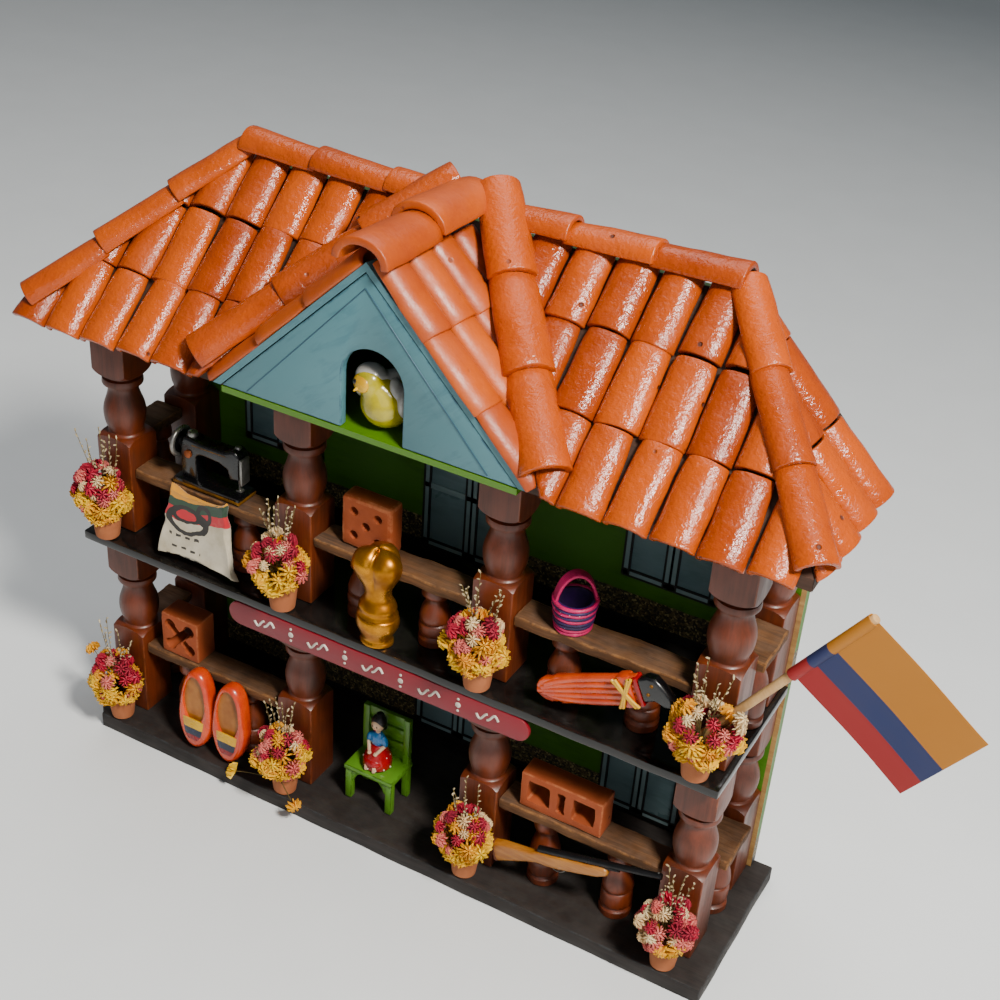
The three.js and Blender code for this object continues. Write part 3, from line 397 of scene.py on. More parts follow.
finishes = {
    "baseStain": woodMaterial("baseStain", "261B16", "110D0B", 0.7, (0, 0, 0), contrast=0.9, under="2C2F31", dust=0.03),
    "deckBlack": paintMaterial("deckBlack", "110F0E", "080706", cover=0.75, under="241B14", gloss=0.3, dust=0.02),
    "wall": wallMaterial(),
    "atticGreen": paintMaterial("atticGreen", "54801A", "34580E", cover=0.7, under="1E300A", gloss=0.3),
    "gableBlue": paintMaterial("gableBlue", "5C8890", "3E6A78", (0, 40, 0), cover=0.62, under="2E5468"),
    "scored": paintMaterial("scored", "32586A", "24424E", (0, 40, 0), cover=0.6),
    "rawBoard": woodMaterial("rawBoard", "8A6238", "573A20", 0.8, (0, 0, 0), dust=0.1),
    "underRoof": woodMaterial("underRoof", "4A2C18", "24140A", 0.75, (0, 0, 0)),
    "tileGloss": clayMaterial("tileGloss", "C65C18", "963E10", 0.18, 0.85, bump=1.0, patchy=0.22, grit=0.75),
    "tileMatte": clayMaterial("tileMatte", "D0662A", "AA4A1C", 0.36, 0.5, bump=0.6, patchy=0.2, grit=0.4),
    # tileHollow is a darker copy of the tile clay for the hollows under the tiles: painted shade; no piece uses it.
    "tileHollow": clayMaterial("tileHollow", "9A4A20", "5C2410", 0.8, 0.4),
    "columnVarnish": woodMaterial("columnVarnish", "7A3820", "46200F", 0.44, (0, 90, 0), 0.8, 0.9, under="88492C", bump=0.3,
                                  Coat_Weight=0.08, Coat_Roughness=0.2),
    "columnEnd": woodMaterial("columnEnd", "80462C", "582A18", 0.6, (0, 0, 90), 1.2, 0.8),
    "plank": woodMaterial("plank", "744C2A", "3C2614", 0.85, (0, 0, 0), 1.6, 1.1, under="96683E", dust=0.06, bump=1.0),
    "potClay": clayMaterial("potClay", "D08A60", "A86440", 0.85, 0.5, bump=0.35, dust=0.2, under="E0A880"),
    "brickClay": clayMaterial("brickClay", "C86A40", "A04C2A", 0.75, 0.6, bump=0.5, under="D88A60"),
    "signRed": paintMaterial("signRed", "861024", "5C0A18", cover=0.75, under="5A1018", gloss=0.8),
    "white": enamelMaterial("white", "F0E8DC", "C8BFB0", 0.4),
    "frameBlue": paintMaterial("frameBlue", "8CA2A4", "6C8488", cover=0.7, gloss=0.9),
    "paneDark": paintMaterial("paneDark", "7A9296", "5E777C", cover=0.6, gloss=0.7),
    "lineBlack": enamelMaterial("lineBlack", "12100F", "080706", 0.4),
    "gloss": enamelMaterial("gloss", "0E0E10", "050506", 0.22, Coat_Weight=0.15, Coat_Roughness=0.06),
    "silver": enamelMaterial("silver", "B4B2AC", "7A7874", 0.3, Metallic=0.85),
    "copper": enamelMaterial("copper", "B86A44", "7A4026", 0.35, Metallic=0.7),
    "goldTrim": enamelMaterial("goldTrim", "A8742A", "5A3812", 0.45, Metallic=0.5),
    "gold": enamelMaterial("gold", "DC9A44", "9C6220", 0.27, Metallic=0.85),
    "orange": enamelMaterial("orange", "E05A1C", "B83E10", 0.22, Coat_Weight=0.5, Coat_Roughness=0.08),
    "clogOrange": enamelMaterial("clogOrange", "E85A28", "C43C18", 0.24, Coat_Weight=0.5, Coat_Roughness=0.1),
    "insole": enamelMaterial("insole", "B87838", "94582A", 0.4),
    "yellow": enamelMaterial("yellow", "F0C028", "D09A18", 0.25),
    "navy": enamelMaterial("navy", "1E2C48", "10182C", 0.25),
    "red": enamelMaterial("red", "AC1624", "7A0C18", 0.22),
    "chairGreen": paintMaterial("chairGreen", "5E8C34", "456C24", cover=0.75, under="385818", gloss=0.7),
    "birdYellow": enamelMaterial("birdYellow", "CCBC28", "A0941C", 0.2, Coat_Weight=0.5, Coat_Roughness=0.08),
    "birdGrey": enamelMaterial("birdGrey", "D2CEC6", "A8A49E", 0.22, Coat_Weight=0.5, Coat_Roughness=0.08),
    "birdOlive": enamelMaterial("birdOlive", "6A6A1E", "4A4A14", 0.25),
    "skin": enamelMaterial("skin", "E8CBA8", "D0A888", 0.35),
    "hair": enamelMaterial("hair", "14100E", "0A0807", 0.3),
    "blouse": enamelMaterial("blouse", "2478B4", "165A90", 0.22, Coat_Weight=0.5),
    "gunWood": woodMaterial("gunWood", "C88A46", "94561E", 0.4, (0, 0, 0), 1.3, 1.1, Coat_Weight=0.3, Coat_Roughness=0.2),
    "barrel": enamelMaterial("barrel", "2A2A2C", "141416", 0.3, Metallic=0.6),
    "pink": enamelMaterial("pink", "D81C6C", "A80E4E", 0.5),
    "purple": enamelMaterial("purple", "3A1C5C", "200E38", 0.5),
    "stick": woodMaterial("stick", "E2BC8A", "C4935C", 0.65, (0, -55.5, 0), 1.2, 0.8),
    "petalYellow": enamelMaterial("petalYellow", "FFD600", "F6B400", 0.6),
    "petalGold": enamelMaterial("petalGold", "FFC000", "E09400", 0.6),
    "petalCrimson": enamelMaterial("petalCrimson", "C42C44", "8C1A30", 0.6),
    "petalPink": enamelMaterial("petalPink", "F09084", "D4605C", 0.6),
    "petalCream": enamelMaterial("petalCream", "FFEABC", "E8BE8C", 0.6),
    "bud": enamelMaterial("bud", "D8C8A4", "94805A", 0.6),
    "stem": enamelMaterial("stem", "7C6A3C", "54441F", 0.75),
}
print("finishes ready")

# Mesh helpers. Sizes come in millimetres, and meshes are in metres with their place in the mesh.
def activate(*objects):
    bpy.ops.object.select_all(action="DESELECT")
    for obj in objects:
        obj.select_set(True)
    bpy.context.view_layer.objects.active = objects[0]

def applyPlace():
    bpy.ops.object.transform_apply(location=True, rotation=True, scale=True)
    return bpy.context.object

def applyModifier(obj, kind, **settings):
    activate(obj)
    modifier = obj.modifiers.new(kind.lower(), kind)
    for key, value in settings.items():
        setattr(modifier, key, value)
    bpy.ops.object.modifier_apply(modifier=modifier.name)
    return obj

def soften(obj, width, segments=2, angle=40):
    return applyModifier(obj, "BEVEL", width=width * mm, segments=segments, limit_method="ANGLE",
                         angle_limit=math.radians(angle))

def smooth(obj, angle=35):
    activate(obj)
    bpy.ops.object.shade_smooth_by_angle(angle=math.radians(angle))
    return obj

def markEdges(obj):
    mesh = obj.data
    attribute = mesh.attributes.new("edge", "FLOAT", "FACE")
    square = [max(abs(value) for value in face.normal) for face in mesh.polygons]
    attribute.data.foreach_set("value", [1.0 if value < 0.97 else 0.0 for value in square])

def block(low, high, bevel=0.4, slices=(), wobble=0.0, material=None):
    low, high = Vector(low) * mm, Vector(high) * mm
    bpy.ops.object.select_all(action="DESELECT")
    bpy.ops.mesh.primitive_cube_add(size=1, location=(low + high) / 2)
    bpy.context.object.scale = high - low
    obj = applyPlace()
    bpy.ops.object.mode_set(mode="EDIT")
    if bevel:
        bpy.ops.mesh.select_all(action="SELECT")
        bpy.ops.mesh.bevel(offset=bevel * mm, segments=2, affect="EDGES")
    for axis, count in slices:
        sliceAlong(obj, axis, count)
    bpy.ops.object.mode_set(mode="OBJECT")
    markEdges(obj)
    if wobble:
        roughen(obj, wobble, 90)
    if material:
        obj.data.materials.append(finishes[material])
    return smooth(obj, 40)

# Cuts every edge that runs along one axis and is long enough, in edit mode.
def sliceAlong(obj, axis, count):
    mesh = bmesh.from_edit_mesh(obj.data)
    longest = max(edge.calc_length() for edge in mesh.edges)
    for edge in mesh.edges:
        way = edge.verts[0].co - edge.verts[1].co
        edge.select = abs(way[axis]) > 0.97 * way.length and way.length > longest * 0.02 and way.length > 1.5 * mm
    bpy.ops.mesh.subdivide(number_cuts=count)

def roughen(obj, amount, scale, seed=0.0):
    shift = Vector((seed * 7.3, seed * 3.1, seed * 5.7))
    for vertex in obj.data.vertices:
        vertex.co += noise.noise_vector(vertex.co * scale + shift) * amount * mm
    return obj

def merged(obj):
    activate(obj)
    bpy.ops.object.mode_set(mode="EDIT")
    bpy.ops.mesh.select_all(action="SELECT")
    bpy.ops.mesh.remove_doubles(threshold=1e-6)
    bpy.ops.mesh.normals_make_consistent(inside=False)
    bpy.ops.object.mode_set(mode="OBJECT")
    return obj

def meshFrom(points, edges, faces):
    mesh = bpy.data.meshes.new("shape")
    mesh.from_pydata([Vector(p) * mm for p in points], edges, faces)
    obj = bpy.data.objects.new("shape", mesh)
    bpy.context.collection.objects.link(obj)
    activate(obj)
    return obj

# A profile of (radius, height) turned round a standing axis.
def turned(profile, place=(0, 0, 0), steps=32, material=None, angle=35):
    points = [(radius, 0, height) for radius, height in profile]
    obj = meshFrom(points, [(i, i + 1) for i in range(len(points) - 1)], [])
    bpy.ops.object.mode_set(mode="EDIT")
    bpy.ops.mesh.select_all(action="SELECT")
    bpy.ops.mesh.spin(steps=steps, angle=2 * math.pi, center=(0, 0, 0), axis=(0, 0, 1))
    bpy.ops.object.mode_set(mode="OBJECT")
    merged(obj)
    obj.data.transform(Matrix.Translation(Vector(place) * mm))
    if material:
        obj.data.materials.append(finishes[material])
    return smooth(obj, angle)

# A smooth line through (radius, height) points; a point given twice stays a corner.
def curved(points, steps=4):
    line = []
    for i in range(len(points) - 1):
        b, c = Vector(points[i]), Vector(points[i + 1])
        a = Vector(points[i - 1]) if i else b
        d = Vector(points[i + 2]) if i + 2 < len(points) else c
        if b == c:
            continue
        for step in range(steps):
            t = step / steps
            line.append(0.5 * (2 * b + (c - a) * t + (2 * a - 5 * b + 4 * c - d) * t ** 2 + (3 * b - a - 3 * c + d) * t ** 3))
    line.append(Vector(points[-1]))
    return [tuple(point) for point in line]

# An outline of (x, z) points given a thickness from y0 to y1.
def cutOut(outline, y0, y1, bevel=0.3, material=None, segments=2):
    obj = meshFrom([(x, y0, z) for x, z in outline], [], [list(range(len(outline)))])
    bpy.ops.object.mode_set(mode="EDIT")
    bpy.ops.mesh.select_all(action="SELECT")
    bpy.ops.mesh.extrude_region_move(TRANSFORM_OT_translate={"value": (0, (y1 - y0) * mm, 0)})
    bpy.ops.object.mode_set(mode="OBJECT")
    merged(obj)
    if bevel:
        soften(obj, bevel, segments, 50)
    if material:
        obj.data.materials.append(finishes[material])
    return smooth(obj, 35)

def arc(centre, radius, start, end, steps):
    turns = [math.radians(start + (end - start) * i / steps) for i in range(steps + 1)]
    return [(centre[0] + radius * math.cos(t), centre[1] + radius * math.sin(t)) for t in turns]

def ball(centre, radii, material=None, turn=(0, 0, 0), segments=16, rings=10):
    bpy.ops.object.select_all(action="DESELECT")
    bpy.ops.mesh.primitive_uv_sphere_add(segments=segments, ring_count=rings, radius=1, location=Vector(centre) * mm,
                                         rotation=[math.radians(a) for a in turn])
    bpy.context.object.scale = Vector(radii) * mm
    obj = applyPlace()
    if material:
        obj.data.materials.append(finishes[material])
    return smooth(obj, 60)

def rod(start, end, radius, material=None, endRadius=None, sides=12, bevel=0.0):
    start, end = Vector(start), Vector(end)
    way = end - start
    bpy.ops.object.select_all(action="DESELECT")
    bpy.ops.mesh.primitive_cone_add(vertices=sides, radius1=radius * mm, radius2=(endRadius or radius) * mm,
                                    depth=way.length * mm, location=(start + end) / 2 * mm,
                                    rotation=way.to_track_quat("Z", "Y").to_euler())
    obj = applyPlace()
    if bevel:
        soften(obj, bevel, 2, 60)
    if material:
        obj.data.materials.append(finishes[material])
    return smooth(obj, 40)

def ring(centre, radius, thick, material=None, turn=(0, 0, 0), steps=(28, 8)):
    bpy.ops.object.select_all(action="DESELECT")
    bpy.ops.mesh.primitive_torus_add(location=Vector(centre) * mm, rotation=[math.radians(a) for a in turn],
                                     major_radius=radius * mm, minor_radius=thick * mm,
                                     major_segments=steps[0], minor_segments=steps[1])
    obj = applyPlace()
    if material:
        obj.data.materials.append(finishes[material])
    return smooth(obj, 60)

# A wire through points, smoothed into one line.
def wire(points, radius, material=None, sides=3, smoothed=True, closed=False):
    data = bpy.data.curves.new("wire", "CURVE")
    data.dimensions = "3D"
    spline = data.splines.new("NURBS" if smoothed else "POLY")
    spline.points.add(len(points) - 1)
    for point, place in zip(spline.points, points):
        point.co = (*(Vector(place) * mm), 1)
    if smoothed:
        spline.order_u = 4
        spline.use_endpoint_u = not closed
        spline.resolution_u = 5
    spline.use_cyclic_u = closed
    data.bevel_depth = radius * mm
    data.bevel_resolution = sides
    data.use_fill_caps = not closed
    obj = bpy.data.objects.new("wire", data)
    bpy.context.collection.objects.link(obj)
    activate(obj)
    bpy.ops.object.convert(target="MESH")
    obj = merged(bpy.context.object)
    if material:
        obj.data.materials.append(finishes[material])
    return smooth(obj, 60)

def copyOf(obj, matrix=None):
    copy = obj.copy()
    copy.data = obj.data.copy()
    bpy.context.collection.objects.link(copy)
    if matrix:
        copy.data.transform(matrix)
    return copy

def moved(obj, x=0, y=0, z=0):
    obj.data.transform(Matrix.Translation(Vector((x, y, z)) * mm))
    return obj

def rotated(obj, degrees, axis, pivot):
    pivot = Vector(pivot) * mm
    turn = Matrix.Rotation(math.radians(degrees), 4, axis)
    obj.data.transform(Matrix.Translation(pivot) @ turn @ Matrix.Translation(-pivot))
    return obj

def joinAll(objects):
    if len(objects) > 1:
        activate(*objects)
        bpy.ops.object.join()
    return objects[0]

def remove(obj):
    bpy.data.objects.remove(obj, do_unlink=True)

def carve(obj, cutters, operation="DIFFERENCE"):
    for cutter in cutters:
        applyModifier(obj, "BOOLEAN", object=cutter, operation=operation, solver="EXACT")
        remove(cutter)
    return obj

# Slices an object with a plane and closes the cut; what lies on the normal's side goes.
def cutAway(obj, point, normal):
    activate(obj)
    bpy.ops.object.mode_set(mode="EDIT")
    bpy.ops.mesh.select_all(action="SELECT")
    bpy.ops.mesh.bisect(plane_co=Vector(point) * mm, plane_no=normal, use_fill=True, clear_outer=True)
    bpy.ops.object.mode_set(mode="OBJECT")
    return obj

def setTint(obj, value):
    attribute = obj.data.attributes.new("tint", "FLOAT", "FACE")
    attribute.data.foreach_set("value", [value] * len(obj.data.polygons))

def place(obj, name, nodes=(), body="house", slot=None):
    obj.name = name
    obj.data.name = name
    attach(obj, body)
    if nodes:
        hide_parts(*nodes)
    return obj

def paintNode(node, *names):
    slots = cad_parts[node].material_slots
    for i, slot in enumerate(slots):
        slot.material = finishes[names[min(i, len(names) - 1)]]


# Floors and walls.
baseBoard = {"bevel": 0.5, "chip": 20.0, "slices": 60, "wobble": 0.25}

def makeBase():
    base = block(baseLow, baseHigh, baseBoard["bevel"], [(0, baseBoard["slices"]), (1, 14)], 0, "baseStain")
    left, front, deep = baseLow.x, baseLow.y, baseBoard["chip"]
    steps = [(left - 4, front - 4), (left + 9, front - 4), (left + 8, front + 1.5), (left + 6, front + 3),
             (left + 5.5, front + 8), (left + 3.5, front + 10), (left + 3, front + 16), (left + 1, front + 18),
             (left + 0.6, front + deep), (left - 4, front + deep + 1)]
    chip = meshFrom([(x, y, baseLow.z - 1) for x, y in steps], [], [list(range(len(steps)))])
    bpy.ops.object.mode_set(mode="EDIT")
    bpy.ops.mesh.select_all(action="SELECT")
    bpy.ops.mesh.extrude_region_move(TRANSFORM_OT_translate={"value": (0, 0, (baseHigh.z + 2) * mm)})
    bpy.ops.object.mode_set(mode="OBJECT")
    roughen(merged(chip), 0.5, 300)
    carve(base, [chip])
    roughen(base, baseBoard["wobble"], 70)
    for vertex in base.data.vertices:
        vertex.co.z = max(vertex.co.z, 0)
    place(smooth(base, 30), "baseBoard", ["base_board"], slot="dark_stain")

def makeDeck():
    deck = block(deckLow, deckHigh, 0.4, [(0, 70), (1, 16)], 0.18, "deckBlack")
    place(deck, "balconyDeck", ["balcony_deck"], slot="black_paint")
    paintNode("attic_floor", "atticGreen")
    paintNode("back_wall", "wall")
    for node in ("roof_board_front", "roof_board_right", "roof_board_left"):
        paintNode(node, "underRoof")
    paintNode("dormer_boards", "gableBlue")

gable = {"centre": -3.5, "nicheX": -0.8, "nicheWidth": 21.0, "nicheHeight": 29.0, "bevel": 0.5}

def makeGable():
    nicheHalf = gable["nicheWidth"] / 2
    springing = gableLow.z - 1 + gable["nicheHeight"] - nicheHalf
    hole = arc((gable["nicheX"], springing), nicheHalf, 0, 180, 18)
    outline = [(gableLow.x, gableLow.z), (gable["nicheX"] - nicheHalf, gableLow.z), *reversed(hole),
               (gable["nicheX"] + nicheHalf, gableLow.z), (gableHigh.x, gableLow.z), (gable["centre"], gableHigh.z)]
    board = cutOut(outline, gableLow.y, gableHigh.y, gable["bevel"], "gableBlue")
    markEdges(board)
    inner = [(gableLow.x + 9.5, gableLow.z + 0.8), (gable["centre"], gableHigh.z - 4.6), (gableHigh.x - 9.5, gableLow.z + 0.8)]
    score = wire([(x, gableLow.y - 0.02, z) for x, z in inner[:2]], 0.22, "scored", 1)
    score = joinAll([score, wire([(x, gableLow.y - 0.02, z) for x, z in inner[1:]], 0.22, "scored", 1)])
    board = joinAll([board, score])
    place(board, "gableBoard", ["gable_board"], slot="gable_blue")

sign = {"strokes": 9, "stroke": 0.42}

def makeSign():
    low, high = corners("sign_board")
    half = (high.z - low.z) / 2
    outline = arc((high.x - half, low.z + half), half, -90, 90, 12) + arc((low.x + half, low.z + half), half, 90, 270, 12)
    parts = [cutOut(outline, low.y, high.y, 0.35, "signRed")]
    face = low.y - 0.05
    middle = low.z + half
    for i in range(sign["strokes"]):
        x = (i - (sign["strokes"] - 1) / 2) * 10.6
        if i % 2:
            parts.append(ball((x, face, middle), (1.0, 0.3, 1.0), "white"))
            parts.append(ball((x, face, middle + 2.3), (0.5, 0.25, 0.5), "white"))
            parts.append(ball((x, face, middle - 2.3), (0.5, 0.25, 0.5), "white"))
        else:
            for way in (1, -1):
                points = [(x + way * 3.9 * (1 - t), face, middle + way * 1.9 * math.sin(t * 4.6) * (1 - 0.4 * t)) for t in
                          [j / 8 for j in range(9)]]
                parts.append(wire(points, sign["stroke"], "white", 2))
    place(joinAll(parts), "signBoard", ["sign_board"], slot="sign_red")


# The roof. Each slope has its own frame: across, uphill and out, from one corner of the eave.
roof = {"eaveZ": atticTop + 1.1, "apexLift": 3.25, "apexFall": 6.5}
tile = {"width": 13.95, "pitch": 14.05, "height": 4.9, "shell": 1.9, "length": 26.0, "starts": (-5.0, 21.5, 48.0),
        "lift": 0.5, "taper": 0.94}
cap = {"width": 15.0, "height": 6.6, "shell": 2.1, "length": 28.5, "lap": 1.2}

def slopeFrame(origin, across, uphill):
    across, uphill = Vector(across).normalized(), Vector(uphill).normalized()
    out = across.cross(uphill).normalized()
    frameOf = Matrix((across, uphill, out)).transposed().to_4x4()
    frameOf.translation = Vector(origin) * mm
    return frameOf

# A half-round tile along Y, its wide end at zero and its narrow end rounded off.
def makeTile(width, height, shell, length, taper, rings=6):
    bpy.ops.object.select_all(action="DESELECT")
    bpy.ops.mesh.primitive_cylinder_add(vertices=24, radius=width / 2 * mm, depth=length * mm, end_fill_type="NOTHING",
                                        location=(0, length / 2 * mm, 0), rotation=(math.pi / 2, 0, 0))
    obj = applyPlace()
    bpy.ops.object.mode_set(mode="EDIT")
    bpy.ops.mesh.select_all(action="SELECT")
    bpy.ops.mesh.bisect(plane_co=(0, 0, 0.0001 * mm), plane_no=(0, 0, -1), clear_outer=True)
    sliceAlong(obj, 1, rings)
    bpy.ops.object.mode_set(mode="OBJECT")
    for vertex in obj.data.vertices:
        along = vertex.co.y / (length * mm)
        narrow = 1 - (1 - taper) * along - 0.05 * max(0, along - 0.85) / 0.15
        vertex.co.x *= narrow
        vertex.co.z *= 2 * height / width * (1 - 0.14 * along)
    merged(obj)
    applyModifier(obj, "SOLIDIFY", thickness=shell * mm, offset=-1)
    soften(obj, 0.4, 2, 50)
    return smooth(obj, 50)

def layTiles(source, places, clay):
    laid = []
    for i, matrix in enumerate(places):
        piece = copyOf(source)
        roughen(piece, 0.32, 130, i + 1)
        size = Matrix.Diagonal((random.uniform(0.95, 1.01), random.uniform(0.985, 1.015), random.uniform(0.92, 1.08), 1))
        tilt = Matrix.Rotation(math.radians(random.uniform(-1.6, 1.6)), 4, "Z") @ Matrix.Rotation(math.radians(random.uniform(-1, 1.8)), 4, "X")
        piece.data.transform(matrix @ tilt @ size)
        setTint(piece, random.uniform(0, 1))
        piece.data.materials.append(finishes[clay])
        laid.append(piece)
    return joinAll(laid)

# Tiles in columns and courses; columns are centres across the slope.
def layField(source, slope, columns, planes, clay="tileGloss", starts=tile["starts"]):
    spots = []
    for start in starts:
        for centre in columns:
            shift = random.uniform(-0.7, 0.7)
            spots.append(slope @ Matrix.Translation(Vector((centre, start + shift, tile["lift"])) * mm))
    field = layTiles(source, spots, clay)
    for point, normal in planes:
        cutAway(field, point, normal)
    return field

# An upright plane through a line, facing the side of the given point.
def uprightPlane(low, high, away, back=0.0):
    way = Vector(high) - Vector(low)
    normal = Vector((way.y, -way.x, 0)).normalized()
    if normal.dot(Vector(away) - Vector(low)) < 0:
        normal = -normal
    return Vector(low) - normal * back, normal

def columnsBetween(first, last):
    return [first + i * tile["pitch"] for i in range(int((last - first) / tile["pitch"]) + 1)]

def apexAt(y):
    return gableHigh.z + roof["apexLift"] - roof["apexFall"] * (y - gableLow.y) / (ridgeY - gableLow.y)

def frontZ(y):
    return roof["eaveZ"] + (ridgeZ - roof["eaveZ"]) * (y - eaveY) / (ridgeY - eaveY)

def valleyEnds(side):
    ends = []
    for y in (eaveY, ridgeY - 3):
        half = apexAt(y) - frontZ(y)
        ends.append((gable["centre"] + side * half, y, frontZ(y)))
    return ends

def makeTileFields():
    source = makeTile(tile["width"], tile["height"], tile["shell"], tile["length"], tile["taper"])
    eaveZ = roof["eaveZ"]
    front = slopeFrame((0, eaveY, eaveZ), (1, 0, 0), (0, ridgeY - eaveY, ridgeZ - eaveZ))
    run = eaveHalf - ridgeHalf
    for side, word in ((1, "right"), (-1, "left")):
        corner, peak = (side * eaveHalf, eaveY, eaveZ), (side * ridgeHalf, ridgeY, ridgeZ)
        hip = uprightPlane(corner, peak, (side * 200, eaveY, 0), 0.4)
        top = ((0, ridgeY + 1, 0), (0, 1, 0))
        valley = uprightPlane(*valleyEnds(side), (gable["centre"], eaveY, 0), 0.2)
        first = 10.35 if side > 0 else -131.6
        last = 131 if side > 0 else -15
        field = layField(source, front, columnsBetween(first, last), [hip, valley, top])
        place(field, f"frontTiles.{word}", [f"tiles_front_{word}"], slot="varnished_tile")

        across = (0, 1, 0) if side > 0 else (0, -1, 0)
        slope = slopeFrame((side * eaveHalf, 0, eaveZ), across, (-side * run, 0, ridgeZ - eaveZ))
        inner = uprightPlane(corner, peak, (0, -200, 0), 0.4)
        columns = [value * side for value in columnsBetween(eaveY + 6.5, ridgeY)]
        back = ((0, ridgeY + 4.5, 0), (0, 1, 0))
        field = layField(source, slope, columns, [inner, back], starts=(-1.5, 25.0, 51.5))
        place(field, f"endTiles.{word}", [f"tiles_{word}"], slot="varnished_tile")

        foot = (gable["centre"] + side * (apexAt(gableLow.y) - eaveZ), gableLow.y, eaveZ)
        rake = Vector((0, 1, -roof["apexFall"] / (ridgeY - gableLow.y)))
        dormerSlope = slopeFrame(foot, rake * side, (-side, 0, 1))
        columns = [value * side for value in (5.8, 19.8, 33.9, 48.0)]
        outer = uprightPlane(*valleyEnds(side), (side * 200, eaveY, 0), 0.2)
        field = layField(source, dormerSlope, columns, [outer, ((0, ridgeY - 1, 0), (0, 1, 0)), ((gable["centre"], 0, 0), (-side, 0, 0))],
                         "tileMatte", (-1.5, 23.5, 48.0))
        place(field, f"dormerTiles.{word}", ["dormer_tiles"] if side > 0 else [], slot="varnished_tile")
    remove(source)
    print("tile fields laid")

# Caps in a line, each one lapping over the one below it.
def capSpots(low, high, count, rise=0.0, wide=1.0):
    low, high = Vector(low), Vector(high)
    way = (high - low).normalized()
    across = way.cross(Vector((0, 0, 1))).normalized()
    step = (high - low).length / count
    spots = []
    for i in range(count):
        start = low + way * step * i + Vector((0, 0, rise))
        matrix = slopeFrame(start, across, way)
        spots.append(matrix @ Matrix.Rotation(math.radians(-2.5), 4, "X") @ Matrix.Diagonal((wide, (step + cap["lap"]) / cap["length"], wide, 1)))
    return spots

def makeCaps():
    source = makeTile(cap["width"], cap["height"], cap["shell"], cap["length"], 0.94)
    eaveZ = roof["eaveZ"]
    glossy, matte = [], []
    for side in (1, -1):
        hipLow = Vector((side * (eaveHalf + 0.6), eaveY - 0.8, eaveZ - 0.8))
        glossy += capSpots(hipLow, (side * (ridgeHalf - 1), ridgeY, ridgeZ), 3, 4.4, 0.86)
        glossy += capSpots((side * (ridgeHalf - 1), ridgeY, ridgeZ), (side * 4, ridgeY, ridgeZ), 3, 4.4, 0.86)
        low, high = [Vector(end) for end in valleyEnds(side)]
        low += Vector((side * (9 if side < 0 else 5), -1, 4))
        high += Vector((side * 8, 0, 10))
        high += (high - low).normalized() * 7
        glossy += capSpots(low, high, 3, 0, 1.05)
    front = (gable["centre"], gableLow.y - 3.5, apexAt(gableLow.y) + 0.6)
    matte += capSpots(front, (gable["centre"], ridgeY - 2, apexAt(ridgeY - 2) + 8), 2, 0, 1.28)
    caps = [layTiles(source, glossy, "tileGloss"), layTiles(source, matte, "tileMatte")]
    place(joinAll(caps), "roofCaps", ["roof_caps"], slot="varnished_tile")
    remove(source)
    print("caps laid")


# Turned columns, twelve alike.
column = {"side": 14.0, "length": 76.3, "lowBlock": 35.0, "topBlock": 18.0, "corner": 0.5}
columnProfile = [
    (0, -0.5), (0, -0.5), (10.6, -0.5), (10.6, -0.5), (10.6, 32.6), (10.6, 32.6), (9.7, 34.2), (8.0, 35.4), (6.3, 35.8),
    (6.3, 35.8), (5.7, 36.5), (5.9, 37.4), (6.8, 40.4), (7.1, 43.8), (6.7, 46.6), (5.7, 49.6), (5.1, 52.2), (5.4, 54.0),
    (5.4, 54.0), (6.7, 54.5), (6.9, 55.6), (6.7, 56.8), (6.7, 56.8), (5.7, 57.2), (5.7, 58.0), (5.7, 58.0), (7.4, 58.4),
    (9.0, 59.4), (10.1, 61.0), (10.6, 62.8), (10.6, 62.8), (10.6, 77), (10.6, 77), (0, 77),
]

def makeColumns():
    half = column["side"] / 2
    source = block((-half, -half, 0), (half, half, column["length"]), column["corner"])
    carve(source, [turned(curved(columnProfile, 3), steps=40)], "INTERSECT")
    source.data.materials.append(finishes["columnVarnish"])
    smooth(source, 32)
    for level in ("lower", "upper"):
        for name in ("column_1", "column_2", "column_3", "column_4", "back_column_left", "back_column_right"):
            low, high = corners(f"{level}_{name}")
            quarter = Matrix.Rotation(math.radians(90 * random.randint(0, 3) + random.uniform(-1.2, 1.2)), 4, "Z")
            spot = Matrix.Translation(Vector(((low.x + high.x) / 2, (low.y + high.y) / 2, low.z)) * mm)
            body = copyOf(source, spot @ quarter)
            place(body, f"{level}.{name.replace('_', '.')}", [f"{level}_{name}"], slot="red_brown_varnish")
    remove(source)
    print("columns turned")


# Rails: a rough plank on short turned balusters.
rail = {"plank": 3.6, "rough": 0.5, "radius": 5.4}

def makeBaluster(height):
    r = rail["radius"]
    profile = [(0, 0), (0, 0), (r, 0), (r, 0), (r, 2.2), (r, 2.2), (r * 0.84, 3.2), (r * 0.97, 4.4), (r * 0.97, height * 0.34),
               (r * 0.84, height * 0.38), (r * 0.98, height * 0.42), (r * 0.9, height * 0.55), (r * 0.58, height * 0.74),
               (r * 0.62, height * 0.8), (r * 0.86, height * 0.85), (r * 0.82, height * 0.97), (r * 0.82, height),
               (r * 0.82, height), (0, height)]
    return turned(curved(profile, 3), steps=24, material="columnVarnish", angle=45)

